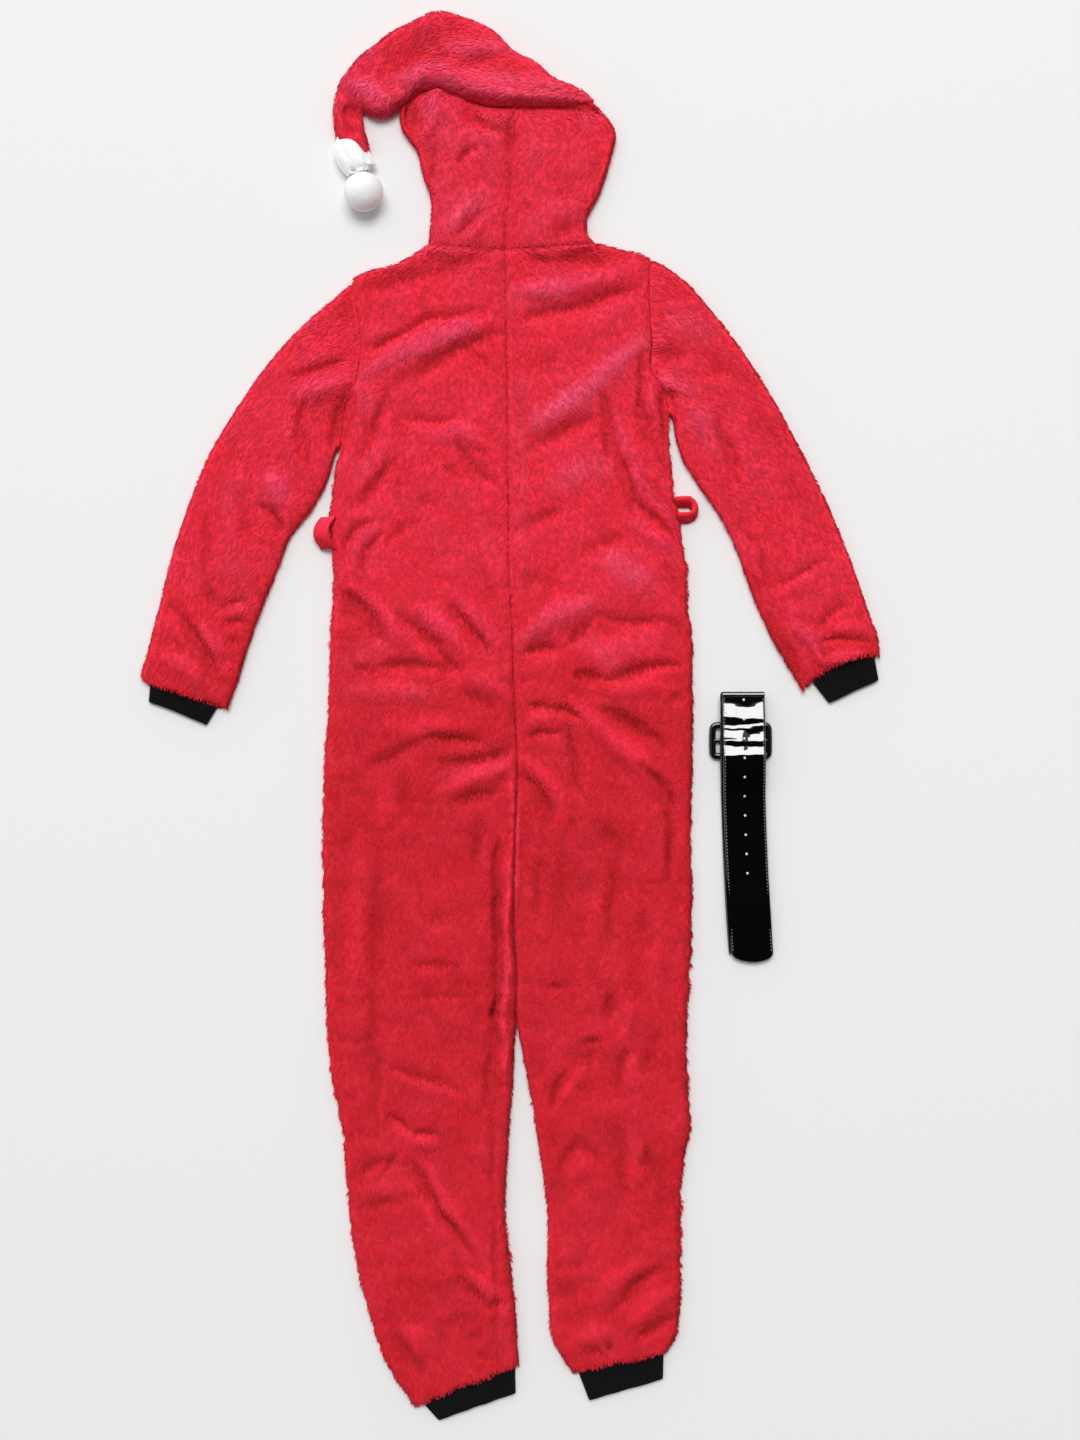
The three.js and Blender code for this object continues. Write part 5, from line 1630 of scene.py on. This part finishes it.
def strap_grid():
    """Points of the strap, upper face then lower face in each row, with rounded edges."""
    belt = bpy.context.scene.onesie_belt
    path = np.array([[row["y"], row["z"]] for row in STRAP], float)
    fine, at = smooth_between(path, 0.7)
    steps = np.gradient(fine, axis=0)
    bent = np.abs(steps[:, 1]) > 0.3 * np.abs(steps[:, 0])
    puckered = (at >= TOP_LAYER - 4) & (fine[:, 0] > PUCKERS[-1]["y"] - 4)
    kept = bent | puckered | (np.arange(len(at)) % 3 == 0)
    kept[-1] = True
    fine, at = fine[kept], at[kept]
    flow = np.gradient(fine, axis=0)
    flow /= np.linalg.norm(flow, axis=1, keepdims=True)
    normal = np.stack([-flow[:, 1], flow[:, 0]], axis=1)
    half, thick = belt.half_width / MM, belt.thickness / MM
    y = fine[:, :1]
    top_layer = at >= TOP_LAYER
    into_tip = np.clip((TIP["start"] - y[:, 0]) / (TIP["start"] - TIP["end"]), 0, 1) * top_layer
    share = np.sqrt(np.maximum(1 - (0.985 * into_tip) ** 2.6, 0.0))
    inset = TOP_INSET * np.clip((at - TOP_LAYER + 4) / 4, 0, 1)
    across = np.concatenate([ACROSS, ACROSS[::-1]])
    face = np.concatenate([np.ones(HALF_COLUMNS), -np.ones(HALF_COLUMNS)])
    from_edge = (1 - np.abs(across)) * half
    edge = np.sqrt(np.clip(1 - (1 - from_edge / 0.65).clip(0, 1) ** 2, 0.05, 1))
    turned = EDGE_TURN * (np.clip(np.abs(across) - SEWN, 0, 1) / (1 - SEWN)) ** 1.4
    offset = face * edge * thick / 2
    lifted = (pucker(y, across[None, :]) - turned) * top_layer[:, None]
    x = belt_middle(y) + inset[:, None] + (half - inset[:, None]) * share[:, None] * across
    yy = y + normal[:, :1] * offset
    z = fine[:, 1:] + normal[:, 1:] * offset + lifted
    return np.dstack([x, yy, np.maximum(z, 0.05)]), at


def strap_object():
    """The strap: one long strip folded in three."""
    grid, _ = strap_grid()
    rows, around = grid.shape[:2]
    faces = grid_faces(rows, around, True)
    ends = [[first + i for i in range(around)] for first in (0, (rows - 1) * around)]
    made = mesh_object("belt_strap_vinyl", grid.reshape(-1, 3), faces)
    closing = made.data
    work = bmesh.new()
    work.from_mesh(closing)
    work.verts.ensure_lookup_table()
    half = around // 2
    for ring in ends:
        for i in range(half - 1):
            corners = [ring[i], ring[i + 1], ring[around - 2 - i], ring[around - 1 - i]]
            work.faces.new([work.verts[c] for c in corners])
    bmesh.ops.remove_doubles(work, verts=work.verts, dist=2e-6)
    bmesh.ops.recalc_face_normals(work, faces=work.faces)
    work.to_mesh(closing)
    work.free()
    made.data.materials.append(patent_vinyl())
    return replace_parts(of_node(made), "belt_strap")


def disc(centre, radius, depth, slope, around=14):
    """Points and faces of a short pin that stands on its centre, its upper rim rounded off, on a sloping face."""
    turn = np.linspace(0, 2 * math.pi, around, endpoint=False)
    rings = [(1.0, 0.0), (1.0, depth * 0.7), (0.75, depth), (0.0, depth)]
    points = []
    for scale, z in rings:
        ring = np.stack([radius * scale * np.cos(turn), radius * scale * np.sin(turn), np.full(around, z)], axis=1)
        ring[:, 2] += ring[:, :2] @ slope
        points.append(ring + centre)
    return np.concatenate(points), grid_faces(len(rings), around, True)


def joined(name, parts, material):
    """One object of many small parts, each with its points and its faces."""
    points, faces, so_far = [], [], 0
    for part_points, part_faces in parts:
        points.append(part_points)
        faces.append(np.asarray(part_faces) + so_far)
        so_far += len(part_points)
    made = mesh_object(name, np.concatenate(points), np.concatenate(faces))
    made.data.materials.append(material)
    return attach(made, "root")


def stitch(start, end, height, radius):
    """Points and faces of one stitch, a short thread that arches between two places."""
    start, end = np.asarray(start, float), np.asarray(end, float)
    turn = np.linspace(0, 2 * math.pi, 6, endpoint=False)
    run = end - start
    side = np.cross(run, [0, 0, 1])
    side /= max(np.linalg.norm(side), 1e-6)
    rings = []
    for t in np.linspace(0, 1, 5):
        centre = start + run * t + np.array([0, 0, height * math.sin(math.pi * t)])
        thin = radius * (0.55 + 0.45 * math.sin(math.pi * t))
        rings.append(centre + thin * (np.cos(turn)[:, None] * side + np.sin(turn)[:, None] * np.array([0, 0, 1])))
    return np.concatenate(rings), grid_faces(len(rings), 6, True)


# ---------- operators ----------


class PieceOperator:
    """What the operators share"""

    bl_options = {"REGISTER", "UNDO"}


class ONESIE_OT_body(PieceOperator, bpy.types.Operator):
    """Builds the two back panels with their pile, and the two fronts under them"""

    bl_idname = "onesie.body"
    bl_label = "Body"

    def execute(self, context):
        for seed, half in ((100, "left"), (200, "right")):
            grid = facing_out(back_grid(half))
            back = shell(f"back_{half}_cloth", grid, red_plush(), piece="body")
            pile = locks(f"back_{half}_pile", grid, red_plush(), seed, fringe=1.2, piece="body")
            front = shell(f"front_{half}_cloth", front_grid(half), red_plush())
        return {"FINISHED"}


class ONESIE_OT_sleeves(PieceOperator, bpy.types.Operator):
    """Builds the two sleeves with their pile"""

    bl_idname = "onesie.sleeves"
    bl_label = "Sleeves"

    def execute(self, context):
        for seed, half in ((300, "left"), (400, "right")):
            grid = facing_out(sleeve_grid(half), True)
            piece = f"sleeve_{half}"
            sleeve = shell(piece + "_cloth", grid, red_plush(), ring=True, piece=piece)
            pile = locks(piece + "_pile", grid, red_plush(), seed, ring=True, fringe=1.2, piece=piece)
        return {"FINISHED"}


class ONESIE_OT_hood(PieceOperator, bpy.types.Operator):
    """Builds the two halves of the hood and its folded point, with their pile"""

    bl_idname = "onesie.hood"
    bl_label = "Hood"

    def execute(self, context):
        for seed, half in ((500, "left"), (600, "right")):
            grid = facing_out(hood_grid(half)[::-1])
            hood = shell(f"hood_{half}_cloth", grid, red_plush(), piece="hood")
            pile = locks(f"hood_{half}_pile", grid, red_plush(), seed, fringe=1.2, piece="hood")
        grid = facing_out(point_grid(), True)
        point = shell("hood_point_cloth", grid, red_plush(), ring=True, piece="point")
        pile = locks("hood_point_pile", grid, red_plush(), 700, ring=True, fringe=0.8, lay=0.3, piece="point")
        return {"FINISHED"}


class ONESIE_OT_pompom(PieceOperator, bpy.types.Operator):
    """Builds the white pompom and the gathered frill above it"""

    bl_idname = "onesie.pompom"
    bl_label = "Pompom"

    def execute(self, context):
        grid = facing_out(ball_grid(), True)
        ball = shell("pompom_plush", grid, white_plush(), ring=True)
        grid = facing_out(frill_grid(), True)
        frill = shell("pompom_collar_plush", grid, white_plush(), ring=True, piece="frill")
        return {"FINISHED"}


class ONESIE_OT_cuffs(PieceOperator, bpy.types.Operator):
    """Builds the four rib-knit cuffs"""

    bl_idname = "onesie.cuffs"
    bl_label = "Cuffs"

    def execute(self, context):
        for row in CUFFS:
            cuff_object(row)
        return {"FINISHED"}


class ONESIE_OT_loops(PieceOperator, bpy.types.Operator):
    """Builds the two belt loops at the waist"""

    bl_idname = "onesie.loops"
    bl_label = "Belt loops"

    def execute(self, context):
        for seed, half, grid in ((1000, "right", loop_right_grid()), (1100, "left", loop_left_grid())):
            grid = facing_out(grid, True)
            loop = shell(f"belt_loop_{half}_cloth", grid, red_plush(), ring=True)
            pile = locks(f"belt_loop_{half}_pile", grid, red_plush(), seed, ring=True, length=2.4, area=3.2)
        return {"FINISHED"}


class ONESIE_OT_zip(PieceOperator, bpy.types.Operator):
    """Builds the coil zip between the fronts"""

    bl_idname = "onesie.zip"
    bl_label = "Zip"

    def execute(self, context):
        tape = plain_cloth("woven_red_zip_tape", "#A81E2E", 0.7, 0.9)
        coil = plain_cloth("red_nylon_coil", "#B9283A", 0.45, 1.5)
        rows = [(row["inner_lx"], row["inner_ly"]) for row in BODY[: CROTCH + 1]]
        line, _ = smooth_between(rows, 1.5)
        line = line[(line[:, 1] < 545) & (line[:, 1] > -67)]
        columns = [(-4, 0.7), (-1.2, 0.7), (-1.1, 1.6), (1.1, 1.6), (1.2, 0.7), (4, 0.7)]
        grid = np.stack([np.column_stack([line[:, 0] + x, line[:, 1], np.full(len(line), z)]) for x, z in columns], axis=1)
        shell("zip_front_tape", grid, tape)
        turns = []
        for i, (x, y) in enumerate(line):
            out = 1.3 if i % 2 else -1.3
            turns.append(stitch((x - out, y, 0.8), (x + out, y + 0.5, 0.8), -0.35, 0.42))
        of_node(joined("zip_front_coil", turns, coil))
        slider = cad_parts["zip_slider"]
        slider.data.materials.clear()
        slider.data.materials.append(moulded_red())
        return {"FINISHED"}


def moulded_red():
    """Die-cast zinc slider, stove-enamelled to match the tape: smooth with a soft gloss."""
    made, tree, output = new_material("enamelled_red_zinc")
    where = add_node(tree, "ShaderNodeTexCoord")
    orange_peel = add_node(
        tree, "ShaderNodeTexNoise", {"Scale": 1 / (1.0 * MM), "Detail": 1.0}, {"Vector": where.outputs["Object"]}
    )
    bump = add_node(
        tree, "ShaderNodeBump", {"Strength": 0.15, "Distance": 0.1 * MM}, {"Height": orange_peel.outputs["Fac"]}
    )
    shader = add_node(
        tree,
        "ShaderNodeBsdfPrincipled",
        {"Base Color": linear("#A51C2C"), "Roughness": 0.35, "Coat Weight": 0.3},
        {"Normal": bump.outputs["Normal"]},
    )
    tree.links.new(shader.outputs["BSDF"], output.inputs["Surface"])
    return made


class ONESIE_OT_belt(PieceOperator, bpy.types.Operator):
    """Builds the folded patent strap with pale discs where its holes are, and two rows of stitches"""

    bl_idname = "onesie.belt"
    bl_label = "Belt"

    def execute(self, context):
        belt = context.scene.onesie_belt
        strap = strap_object()
        grid, at = strap_grid()
        top = grid[at >= TOP_LAYER]
        top = top[top[:, HALF_COLUMNS // 2, 1] > TIP["start"] - 4]
        upper, lower = top[:, :HALF_COLUMNS], top[:, :-HALF_COLUMNS - 1 : -1]
        face = np.where(upper[..., 2:] > lower[..., 2:], upper, lower)
        face = face[np.argsort(face[:, HALF_COLUMNS // 2, 1])]
        pitch = belt.stitch_pitch / MM
        stitches = []
        for across in (-SEWN, SEWN):
            place = np.interp(across, ACROSS, np.arange(HALF_COLUMNS))
            low, part = int(place), place - int(place)
            line = face[:, low] * (1 - part) + face[:, low + 1] * part
            for y in np.arange(TIP["start"], 22, pitch):
                ends = [[np.interp(v, line[:, 1], line[:, k]) for k in range(3)] for v in (y, y + 0.55 * pitch)]
                stitches.append(stitch(*ends, 0.35, 0.5))
        thread = joined("belt_stitches", stitches, plain_cloth("waxed_polyester_thread", belt.thread, 0.45, 0.5))
        cores = []
        column = HALF_COLUMNS // 2
        beside, middle, other = face[:, column - 1], face[:, column], face[:, column + 1]
        # pale discs in the holes: the fibre core, and a painted highlight standing for the glints on the holes' rims
        for i in range(HOLES["count"]):
            y = HOLES["first"] - i * HOLES["pitch"]
            x, z = (float(np.interp(y, middle[:, 1], middle[:, k])) for k in (0, 2))
            low, high = (float(np.interp(y + dy, middle[:, 1], middle[:, 2])) for dy in (-1, 1))
            rise = [float(np.interp(y, line[:, 1], line[:, 2])) for line in (beside, other)]
            run = float(np.interp(y, other[:, 1], other[:, 0]) - np.interp(y, beside[:, 1], beside[:, 0]))
            slope = np.array([(rise[1] - rise[0]) / run, (high - low) / 2])
            cores.append(disc(np.array([x, y, z - 0.25]), HOLES["radius"] * 0.8, 0.34, slope))
        core = joined("belt_hole_cores_glints", cores, plain_cloth("pale_core_painted_glint", belt.core, 0.8, 0.6))
        return {"FINISHED"}


class ONESIE_OT_buckle(PieceOperator, bpy.types.Operator):
    """Builds the buckle's frame with its bar, and gives the prong its finish"""

    bl_idname = "onesie.buckle"
    bl_label = "Buckle"

    def execute(self, context):
        low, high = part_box("buckle_frame")
        centre = np.array([(low[0] + high[0]) / 2, (low[1] + high[1]) / 2]) / MM
        half_x, half_y = (high[0] - low[0]) / 2 / MM, (high[1] - low[1]) / 2 / MM
        z = (low[2] + high[2]) / 2 / MM
        side, corner, thick = 8.0, 9.0, (high[2] - low[2]) / MM
        reach = (half_x - side / 2, half_y - side / 2)
        bend = corner - side / 2
        line = []
        for qx, qy, start in ((1, 1, 0), (-1, 1, 90), (-1, -1, 180), (1, -1, 270)):
            for a in np.radians(np.linspace(start, start + 90, 15)):
                line.append((qx * (reach[0] - bend) + bend * math.cos(a), qy * (reach[1] - bend) + bend * math.sin(a)))
        line = np.array(line)
        line, _ = smooth_between(np.concatenate([line, line[:1]]), 1.2)
        line = line[:-1]
        flow = np.roll(line, -1, axis=0) - np.roll(line, 1, axis=0)
        flow /= np.linalg.norm(flow, axis=1, keepdims=True)
        out = np.stack([flow[:, 1], -flow[:, 0]], axis=1)
        across, through = band_section(side / 2, thick / 2, 28, 0.95)
        grid = np.dstack(
            [
                centre[0] + line[:, :1] + out[:, :1] * across,
                centre[1] + line[:, 1:] + out[:, 1:] * across,
                z + through + 0 * line[:, :1],
            ]
        )
        grid = np.concatenate([grid, grid[:1]])
        rows, around = grid.shape[:2]
        parts = [(grid.reshape(-1, 3), grid_faces(rows, around, True))]
        across, through = band_section(2.5, 1.7, 16)
        xs = np.linspace(-reach[0], reach[0], 30)[:, None]
        bar = np.dstack([centre[0] + xs + 0 * across, centre[1] + across + 0 * xs, z + through + 0 * xs])
        parts.append((bar.reshape(-1, 3), grid_faces(30, 16, True)))
        made = joined("buckle_frame_abs", parts, moulded_black())
        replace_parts(of_node(made), "buckle_frame")
        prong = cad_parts["buckle_prong"]
        prong.data.materials.clear()
        prong.data.materials.append(moulded_black())
        return {"FINISHED"}


class ONESIE_OT_stage(PieceOperator, bpy.types.Operator):
    """Lays the floor, sets the lamps and places the camera over the garment"""

    bl_idname = "onesie.stage"
    bl_label = "Stage"

    def execute(self, context):
        stage = context.scene.onesie_stage
        floor = mesh_object("floor", [(-6000, -6000, 0), (6000, -6000, 0), (6000, 6000, 0), (-6000, 6000, 0)], [(0, 1, 2, 3)])
        floor.location.z = -0.2 * MM
        made, tree, output = new_material("matt_white_floor")
        shader = add_node(tree, "ShaderNodeBsdfPrincipled", {"Base Color": linear(stage.floor), "Roughness": 0.75, "Specular IOR Level": 0.2})
        tree.links.new(shader.outputs["BSDF"], output.inputs["Surface"])
        floor.data.materials.append(made)
        lamp = bpy.data.lights.new("strip_lamp", "AREA")
        lamp.shape, lamp.size, lamp.size_y, lamp.energy = "RECTANGLE", 8.5, 6.2, stage.key
        holder = bpy.data.objects.new("strip_lamp", lamp)
        holder.location = (-0.3, 5.9, 12.7)
        holder.rotation_euler = (-holder.location).to_track_quat("-Z", "Y").to_euler()
        context.scene.collection.objects.link(holder)
        self.light_sky(context.scene, stage.sky)
        lens = bpy.data.cameras.new("camera")
        lens.lens, lens.sensor_width, lens.sensor_fit = 50, 36, "AUTO"
        camera = bpy.data.objects.new("camera", lens)
        x, y = on_sheet(540, 720)
        camera.location = (x * MM, y * MM, stage.height)
        context.scene.collection.objects.link(camera)
        context.scene.camera = camera
        context.scene.view_settings.view_transform = "Standard"
        return {"FINISHED"}

    def light_sky(self, scene, strength):
        """A pale sky all round, brighter towards the head and left, and dark over the feet."""
        world = bpy.data.worlds.new("studio")
        world.use_nodes = True
        tree = world.node_tree
        tree.nodes.clear()
        where = add_node(tree, "ShaderNodeTexCoord")
        above = add_node(
            tree,
            "ShaderNodeVectorMath",
            {1: (0.1, -0.35, 0.93)},
            {0: where.outputs["Generated"]},
            operation="DOT_PRODUCT",
        )
        dark = add_node(
            tree,
            "ShaderNodeMapRange",
            {"From Min": 0.82, "From Max": 0.92, "To Min": 1.0, "To Max": 0.02},
            {"Value": above.outputs["Value"]},
            interpolation_type="SMOOTHSTEP",
        )
        side = add_node(
            tree,
            "ShaderNodeVectorMath",
            {1: (-0.38, 0.7, 0.0)},
            {0: where.outputs["Generated"]},
            operation="DOT_PRODUCT",
        )
        fall = add_node(tree, "ShaderNodeMath", {1: 1.0}, {0: side.outputs["Value"]}, operation="ADD")
        seen = add_node(tree, "ShaderNodeMath", {1: strength}, {0: fall.outputs[0]}, operation="MULTIPLY")
        level = add_node(
            tree,
            "ShaderNodeMath",
            links={0: seen.outputs[0], 1: dark.outputs["Result"]},
            operation="MULTIPLY",
        )
        sky = add_node(tree, "ShaderNodeBackground", {"Color": (1.0, 1.0, 1.0, 1.0)}, {"Strength": level.outputs[0]})
        output = tree.nodes.new("ShaderNodeOutputWorld")
        tree.links.new(sky.outputs["Background"], output.inputs["Surface"])
        scene.world = world


class ONESIE_PT_pieces(bpy.types.Panel):
    """Lists the pieces and their settings"""

    bl_label = "Onesie"
    bl_space_type = "VIEW_3D"
    bl_region_type = "UI"
    bl_category = "Onesie"

    def draw(self, context):
        for operator in OPERATORS:
            self.layout.operator(operator.bl_idname)
        for name in SETTINGS:
            group = getattr(context.scene, name)
            for key in group.__annotations__:
                self.layout.prop(group, key)


OPERATORS = (
    ONESIE_OT_stage,
    ONESIE_OT_body,
    ONESIE_OT_sleeves,
    ONESIE_OT_hood,
    ONESIE_OT_pompom,
    ONESIE_OT_cuffs,
    ONESIE_OT_loops,
    ONESIE_OT_zip,
    ONESIE_OT_belt,
    ONESIE_OT_buckle,
)
SETTINGS = {
    "onesie_plush": PlushSettings,
    "onesie_knit": KnitSettings,
    "onesie_belt": BeltSettings,
    "onesie_stage": StageSettings,
}


def register():
    for group in SETTINGS.values():
        bpy.utils.register_class(group)
    for name, group in SETTINGS.items():
        setattr(bpy.types.Scene, name, bpy.props.PointerProperty(type=group))
    for operator in OPERATORS:
        bpy.utils.register_class(operator)
    bpy.utils.register_class(ONESIE_PT_pieces)


def unregister():
    bpy.utils.unregister_class(ONESIE_PT_pieces)
    for operator in reversed(OPERATORS):
        bpy.utils.unregister_class(operator)
    for name in SETTINGS:
        delattr(bpy.types.Scene, name)
    for group in SETTINGS.values():
        bpy.utils.unregister_class(group)


def main():
    """Builds every piece."""
    register()
    for name in ("stage", "body", "sleeves", "hood", "pompom", "cuffs", "loops", "zip", "belt", "buckle"):
        getattr(bpy.ops.onesie, name)()


if __name__ == "__main__":
    main()
